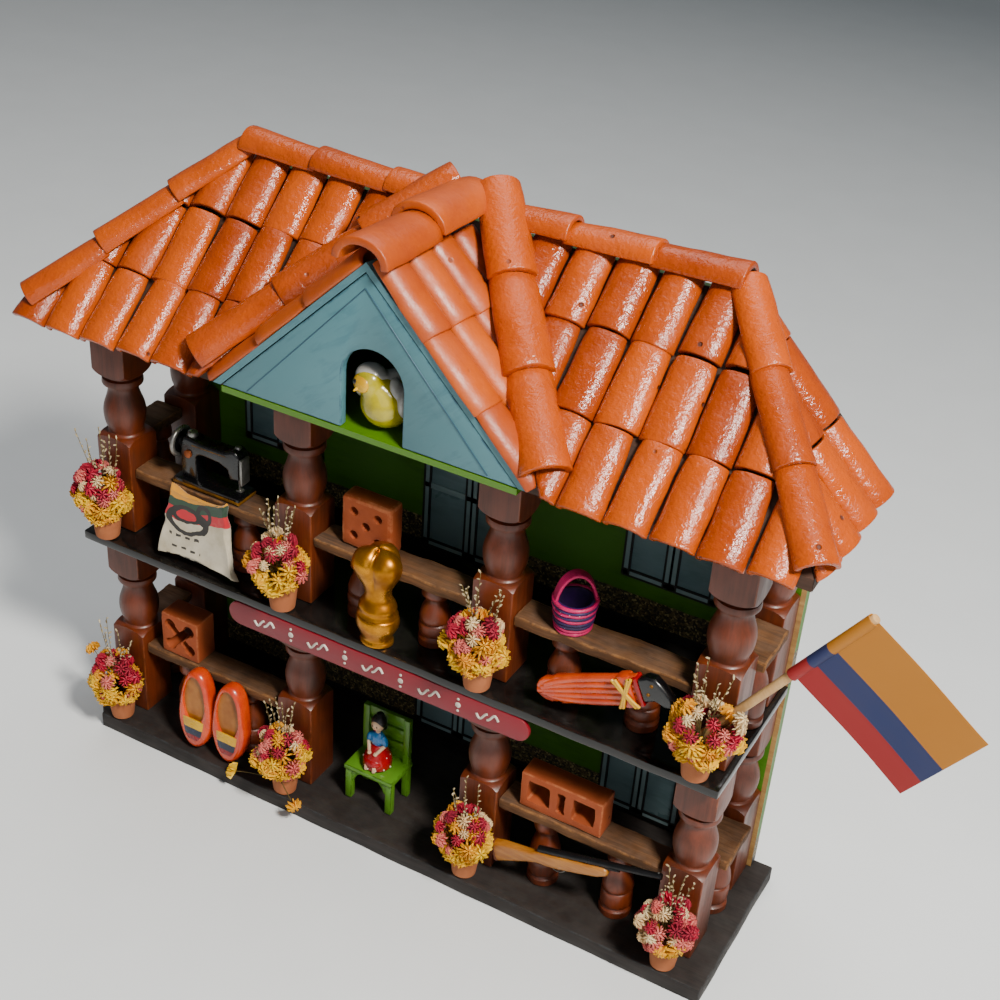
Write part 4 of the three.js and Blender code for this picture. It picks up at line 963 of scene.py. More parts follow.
def makeRails():
    count = 0
    for level, top in (("lower", floorTop), ("upper", deckTop)):
        nodes = [f"{level}_rail_front_{word}" for word in ("left", "middle", "right")]
        nodes += [f"{level}_rail_side_{word}" for word in ("left", "right")]
        for node in nodes:
            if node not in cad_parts:
                continue
            low, high = corners(node)
            lengthwise = 0 if "front" in node else 1
            wide = [low.x, low.y, high.z - rail["plank"]]
            if lengthwise == 0:
                plankLow, plankHigh = (low.x, low.y, wide[2]), (high.x, high.y, high.z)
            else:
                plankLow, plankHigh = (low.x, low.y, wide[2]), (high.x, high.y, high.z)
            plank = block(plankLow, plankHigh, 0.6, [(lengthwise, 26), (1 - lengthwise, 4)], 0, "plank")
            roughen(plank, rail["rough"], 120, count)
            roughen(plank, 0.18, 600, count)
            height = plankLow[2] - low.z
            parts = [plank]
            if lengthwise == 0:
                middle = (low.x + high.x) / 2
                spots = [(middle - 13.5, columnY), (middle + 13.5, columnY)]
            else:
                inward = -1 if low.x > 0 else 1
                spots = [((low.x + high.x) / 2 + inward, (low.y + high.y) / 2 + 2)]
            for x, y in spots:
                post = moved(makeBaluster(height), x, y, low.z)
                roughen(post, 0.22, 260, count)
                parts.append(post)
            place(joinAll(parts), node.replace("_", "."), [node], slot="sanded_plank")
            count += 1
    print("rails made")


# Windows and doors: flat leaves with painted stiles and black lines, on the wall's front face.
openings = {
    "upperWindow.left": {"spans": (-91, -75, -58.5), "foot": 20, "head": 52, "floor": deckTop},
    "upperWindow.right": {"spans": (58.5, 75, 91), "foot": 20, "head": 52, "floor": deckTop},
    "upperDoor": {"spans": (-16.5, 2, 20), "foot": 3, "head": 58, "floor": deckTop},
    "lowerWindow.left": {"spans": (-91, -75, -58.5), "foot": 20, "head": 52, "floor": floorTop},
    "lowerDoor.middle": {"spans": (-16, 2, 20), "foot": 3, "head": 58, "floor": floorTop},
    "lowerDoor.right": {"spans": (60, 75, 90), "foot": 3, "head": 54, "floor": floorTop},
}
leaf = {"thick": 1.0, "stile": 2.2, "line": 0.35, "panel": 0.5}

def makeOpening(name, spans, foot, head, floor):
    bottom, top = floor + foot, floor + head
    front = wallY - leaf["thick"]
    parts = []
    for left, right in zip(spans, spans[1:]):
        stile = leaf["stile"]
        parts.append(block((left, wallY - leaf["panel"], bottom), (right, wallY + 0.2, top), 0.1, material="paneDark"))
        for x in (left, right - stile):
            parts.append(block((x, front, bottom), (x + stile, wallY, top), 0.15, material="frameBlue"))
        levels = [bottom, top - stile]
        if foot < 10:
            levels.append(bottom + (top - bottom) * 0.42)
        for z in levels:
            parts.append(block((left, front, z), (right, wallY, z + stile), 0.15, material="frameBlue"))
        for x in (left + stile, right - stile):
            parts.append(block((x - leaf["line"], front - 0.1, bottom), (x + leaf["line"], wallY, top), 0, material="lineBlack"))
        for x in (left, right):
            parts.append(block((x - leaf["line"], front - 0.15, bottom), (x + leaf["line"], wallY, top), 0, material="lineBlack"))
        for z in (bottom, top, bottom + stile, top - stile):
            parts.append(block((left, front - 0.12, z - leaf["line"]), (right, wallY, z + leaf["line"]), 0, material="lineBlack"))
    place(joinAll(parts), name, slot="wall_green")

def makeOpenings():
    for name, sizes in openings.items():
        makeOpening(name, **sizes)
    print("windows and doors hung")


# Flower pots with dried flowers. Heads are small bursts of closed, pointed petals.
pot = {"foot": 4.1, "top": 5.6, "height": 12.0, "wall": 0.8, "rimY": columnY - 12.9}
flowers = {"heads": 58, "sprigs": 8, "reach": 8.4, "rise": 16.5}

def makePetals(material, rows, radius, core):
    parts = []
    for count, tilt, length in rows:
        for i in range(count):
            angle = 360 * i / count + tilt
            bpy.ops.object.select_all(action="DESELECT")
            bpy.ops.mesh.primitive_cone_add(vertices=4, radius1=radius * 0.16 * mm, radius2=radius * 0.2 * mm, depth=length * radius * mm,
                                            location=(0, 0, length * radius / 2 * mm))
            petal = applyPlace()
            petal.data.transform(Matrix.Diagonal((1.5, 0.45, 1, 1)))
            turn = Matrix.Rotation(math.radians(angle), 4, "Z") @ Matrix.Rotation(math.radians(90 - tilt), 4, "Y")
            petal.data.transform(turn)
            parts.append(petal)
    parts.append(ball((0, 0, radius * 0.12), (radius * core, radius * core, radius * core * 0.8), segments=6, rings=4))
    head = joinAll(parts)
    head.data.materials.append(finishes[material])
    return smooth(head, 50)

def makeHeads():
    daisy = ((9, 14, 0.95), (8, 38, 0.88), (6, 64, 0.75))
    tuft = ((8, 20, 0.85), (8, 45, 0.9), (6, 68, 0.85))
    return {
        "yellow": makePetals("petalYellow", daisy, 3.6, 0.36),
        "gold": makePetals("petalGold", daisy, 3.3, 0.38),
        "crimson": makePetals("petalCrimson", tuft, 3.0, 0.42),
        "pink": makePetals("petalPink", tuft, 2.9, 0.4),
        "cream": makePetals("petalCream", tuft, 2.7, 0.38),
    }

def makeBud():
    return ball((0, 0, 0.7), (0.34, 0.34, 0.8), "bud", segments=6, rings=4)

def aim(way):
    return Vector(way).to_track_quat("Z", "Y").to_matrix().to_4x4()

mixes = {
    "warm": (("yellow", "gold", "yellow", "pink", "yellow"), ("crimson", "pink", "crimson", "cream", "gold")),
    "rosy": (("pink", "cream", "yellow", "pink"), ("crimson", "pink", "cream", "crimson")),
}

def sprig(bud, foot, tip):
    foot, tip = Vector(foot), Vector(tip)
    lean = (tip - foot).cross(Vector((0, 1, 0))).normalized() * random.uniform(-2.5, 2.5)
    middle = (foot + tip) / 2 + lean
    parts = [wire([foot, middle, tip], 0.14, "stem", 0)]
    for i in range(9):
        t = 0.42 + 0.58 * i / 8
        spot = foot * (1 - t) ** 2 + middle * 2 * t * (1 - t) + tip * t * t
        way = (tip - foot).normalized() + Vector([random.uniform(-0.9, 0.9) for _ in range(3)])
        size = random.uniform(0.7, 1.1)
        parts.append(copyOf(bud, Matrix.Translation(spot * mm) @ aim(way) @ Matrix.Scale(size, 4)))
    return parts

def makeBouquet(heads, bud, x, foot, mix, reachRight=0.0):
    parts = []
    mouth = Vector((x, pot["rimY"], foot + pot["height"] - 1))
    low, high = mixes[mix]
    for i in range(flowers["heads"]):
        level = (i + 0.5) / flowers["heads"]
        around = i * 2.39996 + random.uniform(-0.4, 0.4)
        width = flowers["reach"] * math.sin(math.pi * (0.16 + 0.72 * level)) * random.uniform(0.72, 1.08)
        out = Vector((math.cos(around), math.sin(around) * 0.85, 0))
        spot = mouth + out * width + Vector((0, -2.2, -0.5 + flowers["rise"] * level + random.uniform(-1, 1)))
        spot.y = min(spot.y, columnY - 8.6)
        spot.x += reachRight * level * max(0, out.x)
        way = out * 1.2 + Vector((0, -0.35, 0.25 + 1.1 * level))
        if level < 0.3:
            way.z -= 0.5
        kind = random.choice(low if level < 0.55 else high)
        size = random.uniform(0.8, 1.15)
        turn = Matrix.Rotation(random.uniform(0, 6.3), 4, "Z")
        parts.append(copyOf(heads[kind], Matrix.Translation(spot * mm) @ aim(way) @ turn @ Matrix.Scale(size, 4)))
        if i % 2:
            parts.append(wire([mouth, (mouth + spot) / 2 + Vector((0, 0, 1)), spot], 0.16, "stem", 0))
    for i in range(flowers["sprigs"]):
        around = i * 2.39996
        tip = mouth + Vector((math.cos(around) * random.uniform(3, 9), math.sin(around) * 3 - 1.5, random.uniform(20, 31)))
        tip.y = min(tip.y, columnY - 8)
        parts += sprig(bud, mouth, tip)
    return parts

def makePots():
    heads, bud = makeHeads(), makeBud()
    wall = pot["wall"]
    profile = [(0, 0), (pot["foot"] - 0.5, 0), (pot["foot"], 0.5), (pot["top"] - 0.15, pot["height"] - 0.5),
               (pot["top"] - 0.2, pot["height"]), (pot["top"] - wall, pot["height"]), (pot["top"] - wall - 0.2, pot["height"] - 2),
               (0, pot["height"] - 2)]
    source = turned(profile, steps=28, material="potClay")
    for level, floor in (("lower", floorTop), ("upper", deckTop)):
        for i, x in enumerate(columnX):
            foot = floor + 0.3
            clay = moved(copyOf(source), x, pot["rimY"], foot)
            roughen(clay, 0.18, 200, i)
            mix = "rosy" if (level, i) == ("lower", 3) else "warm"
            stretch = 7 if (level, i) == ("upper", 3) else 0
            bouquet = makeBouquet(heads, bud, x, foot, mix, stretch)
            if (level, i) == ("lower", 1):
                bouquet += looseFlower(heads["yellow"], (x - 4, pot["rimY"] - 4, foot + 6), (x - 19, baseLow.y - 0.5, floorTop + 2.2))
                bouquet += looseFlower(heads["gold"], (x + 2, pot["rimY"] - 5, foot + 8), (x + 9, baseLow.y - 3.5, floorTop + 3.0))
            if (level, i) == ("lower", 0):
                bouquet += looseFlower(heads["gold"], (x, pot["rimY"], foot + 12), (x - 11, pot["rimY"] - 1, foot + 26))
            parts = joinAll([clay] + bouquet)
            place(parts, f"{level}.flowerPot.{i + 1}", [f"{level}_flower_pot_{i + 1}"], slot="dried_flowers")
    for spare in [source, bud, *heads.values()]:
        remove(spare)
    print("flowers arranged")

def looseFlower(head, start, end):
    start, end = Vector(start), Vector(end)
    stem = wire([start, (start + end) / 2 + Vector((0, -1, 2)), end], 0.18, "stem", 0)
    way = (end - start).normalized() + Vector((0, -0.3, 0.6))
    return [stem, copyOf(head, Matrix.Translation(end * mm) @ aim(way) @ Matrix.Scale(0.9, 4))]


# The bird in the niche.
bird = {"eye": 0.72}

def blend(parts, voxel, rounds):
    body = joinAll(parts)
    applyModifier(body, "REMESH", mode="VOXEL", voxel_size=voxel * mm)
    applyModifier(body, "SMOOTH", factor=0.6, iterations=rounds)
    return smooth(body, 60)

def makeBird():
    low, high = corners("bird")
    x, y, z = (low.x + high.x) / 2 - 0.6, low.y + 8.6, low.z
    body = blend([
        ball((x + 0.4, y, z + 7.2), (7.2, 7.6, 7.3)), ball((x - 0.4, y - 1.5, z + 9.6), (5.6, 5.6, 5.6)),
        ball((x - 2.8, y - 3.2, z + 13.6), (4.3, 4.4, 4.2)), ball((x + 3, y + 6, z + 12), (2.2, 5, 2.2), turn=(24, 0, -18)),
    ], 0.55, 10)
    body.data.materials.append(finishes["birdYellow"])
    hood = blend([ball((x - 3.1, y - 2.3, z + 14.6), (4.5, 4.2, 3.9)), ball((x + 0.4, y + 1.2, z + 14), (3.0, 4.6, 1.8), turn=(8, 0, -30)),
                  ball((x - 6.2, y - 1.6, z + 11), (1.5, 2.6, 4.2), turn=(12, 10, 0))], 0.5, 6)
    hood.data.materials.append(finishes["birdGrey"])
    wing = blend([ball((x + 6.4, y + 0.5, z + 8.6), (1.9, 5.4, 4.6), turn=(-30, 0, 6)),
                  ball((x + 4.2, y - 1.4, z + 12.4), (1.5, 2.6, 3.6), turn=(-10, -24, 0)),
                  ball((x + 5.4, y + 5.6, z + 11.6), (1.2, 3.4, 1.8), turn=(18, 0, 0))], 0.5, 5)
    wing.data.materials.append(finishes["birdGrey"])
    parts = [body, hood, wing]
    face = Vector((x - 3.9, y - 6.9, z + 13.3))
    parts.append(ball(face + Vector((0, 0.9, 0.4)), (3.1, 1.5, 2.6), "yellow", turn=(-12, 0, -24)))
    for dx, dy in ((-1.5, 0.5), (1.7, 0.35)):
        parts.append(ball(face + Vector((dx, dy - 0.35, 0.7)), (bird["eye"], 0.45, bird["eye"]), "gloss"))
    beak = rod(face + Vector((-0.2, 0.5, -0.6)), face + Vector((-0.9, -1.6, -1.1)), 0.95, "yellow", 0.15)
    parts.append(beak)
    whole = joinAll(parts)
    grown = Matrix.Translation(Vector((x, y, z)) * mm) @ Matrix.Diagonal((1.12, 1.04, 1.1, 1)) @ Matrix.Translation(Vector((-x, -y, -z)) * mm)
    whole.data.transform(grown)
    place(whole, "gardenBird", ["bird"], slot="bird_yellow")


# The sewing machine, seen from its back: wheel on the left, needle head on the right.
machine = {"bed": 2.6, "arm": 6.0, "wheel": 4.7}

def makeSewingMachine():
    low, high = corners("sewing_machine")
    left, right = low.x + 1.0, high.x
    y = (low.y + high.y) / 2
    z = low.z
    half = machine["arm"] / 2
    bed = block((left, low.y, z), (right, high.y, z + machine["bed"]), 0.35, [(0, 10)], 0.05, "gloss")
    trim = block((left - 0.15, low.y - 0.15, z + 0.4), (right + 0.15, high.y + 0.15, z + 1.5), 0.2, [(0, 20)], 0, "goldTrim")
    roughen(trim, 0.12, 900)
    column = left + 2.0
    head = right - 1.0
    outline = [(column, z + 2), *arc((column + 3.2, z + 14.8), 3.4, 180, 100, 6), (column + 9, z + 17.4), (head - 6, z + 17.6),
               *arc((head - 3, z + 16.2), 3, 80, 0, 5), (head, z + 8.2), (head - 4.2, z + 7.2), (head - 5, z + 11.2),
               (head - 8, z + 12.4), (column + 9, z + 12.8), *arc((column + 9, z + 9.8), 3, 90, 180, 5), (column + 6.6, z + 2)]
    body = cutOut(outline, y - half, y + half, 1.1, "gloss", 3)
    parts = [bed, trim, body]
    wheelX = low.x + 1.1
    wheel = ring((wheelX, y, z + 14), machine["wheel"], 0.9, "silver", (0, 90, 0))
    hub = turned([(0, -1.6), (1.4, -1.6), (1.7, -1.2), (1.7, 1.4), (0, 1.4)], steps=16, material="gloss")
    hub.data.transform(Matrix.Translation(Vector((wheelX, y, z + 14)) * mm) @ Matrix.Rotation(math.pi / 2, 4, "Y"))
    disc = rod((wheelX - 0.5, y, z + 14), (wheelX + 0.5, y, z + 14), machine["wheel"] - 0.4, "gloss", bevel=0.2, sides=28)
    parts += [wheel, hub, disc]
    parts.append(block((head - 0.4, y - 2.4, z + 6.4), (head + 0.9, y + 2.2, z + 16.2), 0.5, material="silver"))
    parts.append(rod((head - 1.8, y, z + 3.0), (head - 1.8, y, z + 9), 0.5, "silver"))
    parts.append(block((head - 2.9, y - 1, z + 2.7), (head - 0.7, y + 1.2, z + 3.3), 0.2, material="silver"))
    parts.append(turned([(0, 0), (1.5, 0), (1.6, 0.8), (0.7, 1.3), (0.7, 2.4), (1.2, 2.7), (0.9, 3.3), (0, 3.4)], (head - 2, y, z + 16.6), 18, "silver"))
    parts.append(turned([(0, 0), (1.9, 0), (2.0, 0.5), (1.6, 1.7), (0.8, 2.2), (0, 2.3)], (column + 3.2, y, z + 17.5), 18, "silver"))
    dial = turned([(0, 0), (1.5, 0), (1.4, 0.6), (0.9, 0.8), (0, 0.8)], steps=18, material="copper")
    dial.data.transform(Matrix.Translation(Vector((column + 3.4, y - half, z + 12.2)) * mm) @ Matrix.Rotation(math.pi / 2, 4, "X"))
    parts.append(dial)
    for way in (-1, 1):
        parts.append(wire([(column + 5, y + way * half, z + 15.9), (head - 5, y + way * half, z + 16.2)], 0.16, "goldTrim", 1, False))
    place(joinAll(parts), "sewingMachine", ["sewing_machine"], slot="black_enamel")


# Clay bricks with holes.
def makeBricks():
    low, high = corners("five_hole_brick")
    body = block(low, high, 1.3, [(0, 6), (2, 6)], 0, "brickClay")
    spots = [(0.26, 0.26), (0.74, 0.26), (0.5, 0.5), (0.26, 0.74), (0.74, 0.74)]
    drills = []
    for u, v in spots:
        x, z = low.x + u * (high.x - low.x), low.z + v * (high.z - low.z)
        drills.append(rod((x, low.y - 3, z), (x, high.y + 3, z), 1.55, sides=20))
    carve(body, drills)
    soften(body, 0.25, 2, 60)
    place(smooth(roughen(body, 0.15, 300), 35), "fiveHoleBrick", ["five_hole_brick"], slot="brick_clay")

    low, high = corners("cross_hole_brick")
    middle = (low + high) / 2
    body = block(low, high, 0.5, [(0, 6), (2, 6)], 0, "brickClay")
    for turn in (45, -45):
        arms = [block((middle.x - 7.4, low.y - 3, middle.z - 1.7), (middle.x + 7.4, high.y + 3, middle.z + 1.7), 1.2)]
        for way in (-1, 1):
            arms.append(rod((middle.x + way * 5.8, low.y - 3, middle.z), (middle.x + way * 5.8, high.y + 3, middle.z), 2.4, sides=20))
        carve(body, [rotated(arm, turn, "Y", middle) for arm in arms])
    place(smooth(roughen(body, 0.18, 260), 40), "crossHoleBrick", ["cross_hole_brick"], slot="brick_clay")

    low, high = corners("hollow_brick")
    body = block(low, high, 0.5, [(0, 10), (2, 5)], 0, "brickClay")
    windows = [(2.6, 10.6), (13.3, 16.2), (18.9, 26.9)]
    cutters = []
    for a, b in windows:
        cutter = block((low.x + a, low.y - 3, low.z + 3), (low.x + b, high.y + 3, high.z - 2.6), 0.7, [(0, 4), (2, 4)])
        cutters.append(roughen(cutter, 0.4, 420, a))
    carve(body, cutters)
    place(smooth(roughen(body, 0.2, 240), 40), "hollowBrick", ["hollow_brick"], slot="brick_clay")
    print("bricks fired")


# A gilt ornament with a three-lobed bulb.
gilt = {"lobes": 3, "depth": 0.16}

def makeGoldOrnament():
    low, high = corners("gold_ornament")
    x, y, z = (low.x + high.x) / 2, (low.y + high.y) / 2, low.z
    profile = [(0, 0), (0, 0), (5.2, 0), (5.6, 0.8), (5.0, 1.8), (5.6, 3.6), (7.0, 6.4), (7.3, 8.6), (6.9, 10.2), (6.9, 10.2), (6.4, 10.6),
               (6.9, 11.1), (6.9, 11.1), (6.2, 12.6), (6.5, 13.8), (5.8, 15.4), (4.7, 17.2), (4.5, 19.4), (5.2, 21.6), (6.6, 24.2),
               (8.6, 28.0), (8.8, 31.2), (7.0, 34.2), (3.4, 35.8), (0, 36)]
    body = turned(curved(profile, 3), steps=48, material="gold", angle=60)
    for vertex in body.data.vertices:
        height = vertex.co.z / mm
        amount = max(0.0, min(1.0, (height - 20) / 5))
        around = math.atan2(vertex.co.y, vertex.co.x)
        crease = abs(math.cos(around * gilt["lobes"] / 2 + 0.6)) ** 0.55
        size = 1 - amount * gilt["depth"] * (1 - crease) * 2.4
        vertex.co.x *= size
        vertex.co.y *= size * 0.86
        vertex.co.z -= amount * (1 - crease) * 2.2 * mm * max(0.0, (height - 28) / 8)
    roughen(body, 0.2, 220)
    place(moved(body, x, y, z), "gildedOrnament", ["gold_ornament"], slot="gold_paint")


# A little basket of wound cord.
basket = {"cord": 0.62, "rings": 9, "foot": 5.4, "mouth": 6.6, "height": 10.5, "strap": 3.0}

def makeBasket():
    low, high = corners("basket")
    x, y, z = (low.x + high.x) / 2, (low.y + high.y) / 2, low.z
    parts = []
    shell = turned([(0, 0.2), (basket["foot"] - 0.4, 0.2), (basket["mouth"] - 0.5, basket["height"]), (basket["mouth"] - 1.3, basket["height"]),
                    (basket["foot"] - 1.3, 1.2), (0, 1.2)], (x, y, z), 24, "purple")
    parts.append(shell)
    for i in range(basket["rings"]):
        t = i / (basket["rings"] - 1)
        radius = basket["foot"] + (basket["mouth"] - basket["foot"]) * t
        finish = "purple" if i in (2, 3, 5, 7) else "pink"
        cord = ring((x, y, z + 0.7 + t * (basket["height"] - 0.9)), radius, basket["cord"], finish, (0, 0, i * 11), (32, 8))
        parts.append(roughen(cord, 0.16, 500, i))
    # White dots round the rim: painted highlights, glints of light on the cord.
    for i in range(14):
        angle = math.radians(360 * i / 14)
        spot = (x + math.cos(angle) * basket["mouth"], y + math.sin(angle) * basket["mouth"], z + basket["height"] - 1.6)
        parts.append(ball(spot, (0.28, 0.28, 0.85), "white", segments=8, rings=6))
    lead = Vector((0.8, 0.6, 0)) * (basket["mouth"] - 0.2)
    side = Vector((-0.6, 0.8, 0)) * basket["strap"] / 2
    tall = high.z - z - basket["height"] + 1.6
    for k in range(5):
        shift = side * (k / 2 - 1)
        points = [Vector((x, y, z + basket["height"] - 2.6)) + shift + lead * math.cos(math.pi * i / 10) +
                  Vector((0, 0, tall * math.sin(math.pi * i / 10))) for i in range(11)]
        parts.append(wire(points, 0.55, "pink", 2))
    place(joinAll(parts), "cordBasket", ["basket"], slot="pink_cord")


# A machete in a fluted orange sheath, and a shotgun, each leaning on the rail behind it.
blade = {"turn": -24, "thick": 4.6, "ribs": 5}
gun = {"turn": -14.5, "thick": 3.1, "barrel": 1.25}

def makeMachete():
    low, high = corners("sheathed_machete")
    foot = Vector((bayX[2] - 17.5, low.y, deckTop + 6.5))
    top = low.y + blade["thick"]
    parts = []
    for i in range(blade["ribs"]):
        v = (i - (blade["ribs"] - 1) / 2) * 2.0
        start = 1.2 + abs(v) * 0.75
        middle = (low.y + top) / 2
        points = [foot + Vector((start + t * (36.5 - start), 0, v * (0.42 + 0.58 * min(1, t * 3) ** 0.6))) for t in (0, 0.08, 0.2, 0.45, 0.75, 1)]
        for point in points:
            point.y = middle
        rib = wire(points, 1.42, "orange", 4)
        parts.append(rib)
    tip = [(foot.x + 36, foot.z - 5.0), (foot.x + 36, foot.z + 5.0), (foot.x + 9, foot.z + 5.0), *[(foot.x + 5.8 + 5.4 * c, foot.z + 4.4 * v) for
           c, v in arc((0, 0), 1, 75, 285, 8)], (foot.x + 9, foot.z - 5.0)]
    parts.append(cutOut(tip, low.y + 1.35, top - 0.5, 0.9, "orange", 3))
    middle = (low.y + top) / 2
    collar = block((foot.x + 30, low.y + 0.2, foot.z - 5.6), (foot.x + 34.6, top + 0.2, foot.z + 5.6), 1.2, [(2, 6)], 0.1, "orange")
    parts.append(collar)
    for way in (-1, 1):
        for shift in (-0.5, 0.5):
            points = [(foot.x + 29.8 + shift, low.y - 0.1, foot.z - way * 4.8), (foot.x + 32.4, low.y - 0.75, foot.z),
                      (foot.x + 35.2 + shift, low.y - 0.1, foot.z + way * 4.8)]
            parts.append(wire(points, 0.55, "yellow", 2))
    parts.append(block((foot.x + 35.4, low.y + 0.4, foot.z - 4.9), (foot.x + 37.2, top, foot.z + 4.9), 0.5, material="red"))
    grip = [(37, -3.6), (41, -3.3), (43.4, -5.4), (45.6, -5.9), (47.2, -4.3), (46.2, -1.6), (44.8, 1.6), (43.2, 4.3), (40.6, 5.2), (37, 4.4)]
    parts.append(cutOut([(foot.x + u, foot.z + v) for u, v in grip], low.y + 0.4, top - 0.4, 1.0, "gloss", 3))
    for u, v in ((39.6, -0.6), (41.6, 2.2)):
        parts.append(ball((foot.x + u, low.y + 0.4, foot.z + v), (0.6, 0.4, 0.6), "goldTrim"))
    knife = rotated(joinAll(parts), blade["turn"], "Y", foot)
    place(knife, "sheathedMachete", ["sheathed_machete"], slot="orange_enamel")

def makeShotgun():
    low, high = corners("shotgun")
    foot = Vector((bayX[2] - 27.4, low.y, floorTop + 13.5))
    stock = [(0, -5.2), (6, -3.9), (12, -2.6), (16, -2.1), (19, -2.6), (22, -2.9), (30, -2.7), (38, -2.1), (41.5, -1.0), (42.3, 0.6), (41, 2.0),
             (30, 2.3), (21, 2.3), (17, 2.6), (14, 1.8), (10, 2.2), (4, 2.9), (0, 2.8), (-0.6, 0.4), (-0.5, -3)]
    wood = cutOut([(foot.x + u, foot.z + v) for u, v in stock], low.y, low.y + gun["thick"], 0.9, "gunWood", 3)
    parts = [wood]
    parts.append(block((foot.x - 0.9, low.y + 0.1, foot.z - 5.1), (foot.x + 0.8, low.y + gun["thick"] - 0.1, foot.z + 2.7), 0.4, material="columnEnd"))
    middle = low.y + gun["thick"] / 2
    parts.append(rod((foot.x + 17, middle, foot.z + 3.3), (foot.x + 61, middle, foot.z + 3.3), gun["barrel"], "barrel", 1.05, 16, 0.2))
    parts.append(rod((foot.x + 20, middle, foot.z + 1.9), (foot.x + 46, middle, foot.z + 1.9), 0.75, "barrel", 0.75, 12))
    parts.append(ball((foot.x + 60, middle, foot.z + 4.5), (0.3, 0.3, 0.35), "silver", segments=8, rings=6))
    guard = [(20.5, -2.4), (21, -4.3), (23.2, -5.0), (25.4, -4.2), (26, -2.5)]
    parts.append(wire([(foot.x + u, middle, foot.z + v) for u, v in guard], 0.24, "silver", 2))
    parts.append(wire([(foot.x + 23, middle, foot.z - 2.5), (foot.x + 23.4, middle, foot.z - 4.0)], 0.2, "silver", 2, False))
    place(rotated(joinAll(parts), gun["turn"], "Y", foot), "toyShotgun", ["shotgun"], slot="gun_wood")


# A pair of clogs, toes down, with painted bands across the toes.
clog = {"halfWidth": 7.7, "length": 33.0, "depth": 6.6, "spacing": 14.8, "lean": -5.0, "around": 40}

def clogRing(grow):
    middle, halfLength, half = clog["length"] / 2, clog["length"] / 2 - grow, clog["halfWidth"] - grow
    points = []
    for i in range(clog["around"]):
        angle = 2 * math.pi * i / clog["around"]
        v = middle + math.sin(angle) * halfLength
        waist = 1 - 0.10 * math.sin(math.pi * min(1, max(0, (v - 12) / 20)))
        points.append((math.cos(angle) * half * waist, v))
    return points

def mouthRing(scale):
    angles = [2 * math.pi * i / clog["around"] for i in range(clog["around"])]
    return [(math.cos(a) * 4.9 * scale, 20.6 + math.sin(a) * 10.2 * scale) for a in angles]

# Rings run from the sole round the side and into the mouth, and the last one is filled by the insole.
def makeClog(x, foot):
    rings = [(clogRing(1.9), clog["depth"]), (clogRing(0.7), clog["depth"] - 0.5), (clogRing(0.1), clog["depth"] - 1.8),
             (clogRing(0.1), 2.3), (clogRing(0.5), 1.1), (clogRing(1.2), 0.55), (clogRing(2.0), 0.35),
             (mouthRing(1.04), 0.4), (mouthRing(1.0), 0.6), (mouthRing(0.98), 1.5)]
    points = [(x + u, foot.y + y, foot.z + v) for ring, y in rings for u, v in ring]
    count = clog["around"]
    faces = [list(range(count)), list(range(len(points) - count, len(points)))[::-1]]
    for k in range(len(rings) - 1):
        for i in range(count):
            a, b = k * count + i, k * count + (i + 1) % count
            faces.append((a, a + count, b + count, b))
    body = meshFrom(points, [], faces)
    merged(body)
    body.data.materials.append(finishes["clogOrange"])
    body.data.materials.append(finishes["insole"])
    for polygon in body.data.polygons:
        flat = len(polygon.vertices) == count and polygon.center.y < (foot.y + 3) * mm
        polygon.material_index = 1 if flat else 0
    parts = [smooth(body, 50)]
    bands = (("yellow", 8.6, 12.4), ("navy", 5.6, 8.6), ("red", 3.4, 5.6))
    for finish, start, end in bands:
        rows, across = 4, 12
        points, faces = [], []
        for i in range(rows + 1):
            v = start + (end - start) * i / rows
            half = (clog["halfWidth"] - 0.9) * math.sqrt(max(0.05, 1 - ((v - clog["length"] / 2) / (clog["length"] / 2 - 0.2)) ** 2))
            for j in range(across + 1):
                u = half * (2 * j / across - 1)
                sag = 1.5 * abs(2 * j / across - 1) ** 3 + 1.1 * max(0, 1 - v / 7) ** 2
                points.append((x + u, foot.y + 0.15 + sag, foot.z + v + 0.7 * math.cos(math.pi * (2 * j / across - 1) / 2)))
        for i in range(rows):
            for j in range(across):
                a = i * (across + 1) + j
                faces.append((a, a + 1, a + across + 2, a + across + 1))
        band = meshFrom(points, [], faces)
        merged(band)
        applyModifier(band, "SOLIDIFY", thickness=0.5 * mm, offset=0)
        band.data.materials.append(finishes[finish])
        parts.append(smooth(band, 60))
    return joinAll(parts)

def makeClogs():
    foot = Vector((bayX[0] - 2.7, baseLow.y + 1.6, floorTop + 1.2))
    pair = joinAll([makeClog(foot.x, foot), makeClog(foot.x + clog["spacing"], foot)])
    pair = rotated(pair, clog["lean"], "X", foot)
    place(pair, "paintedClogs", ["slippers"], slot="orange_enamel")


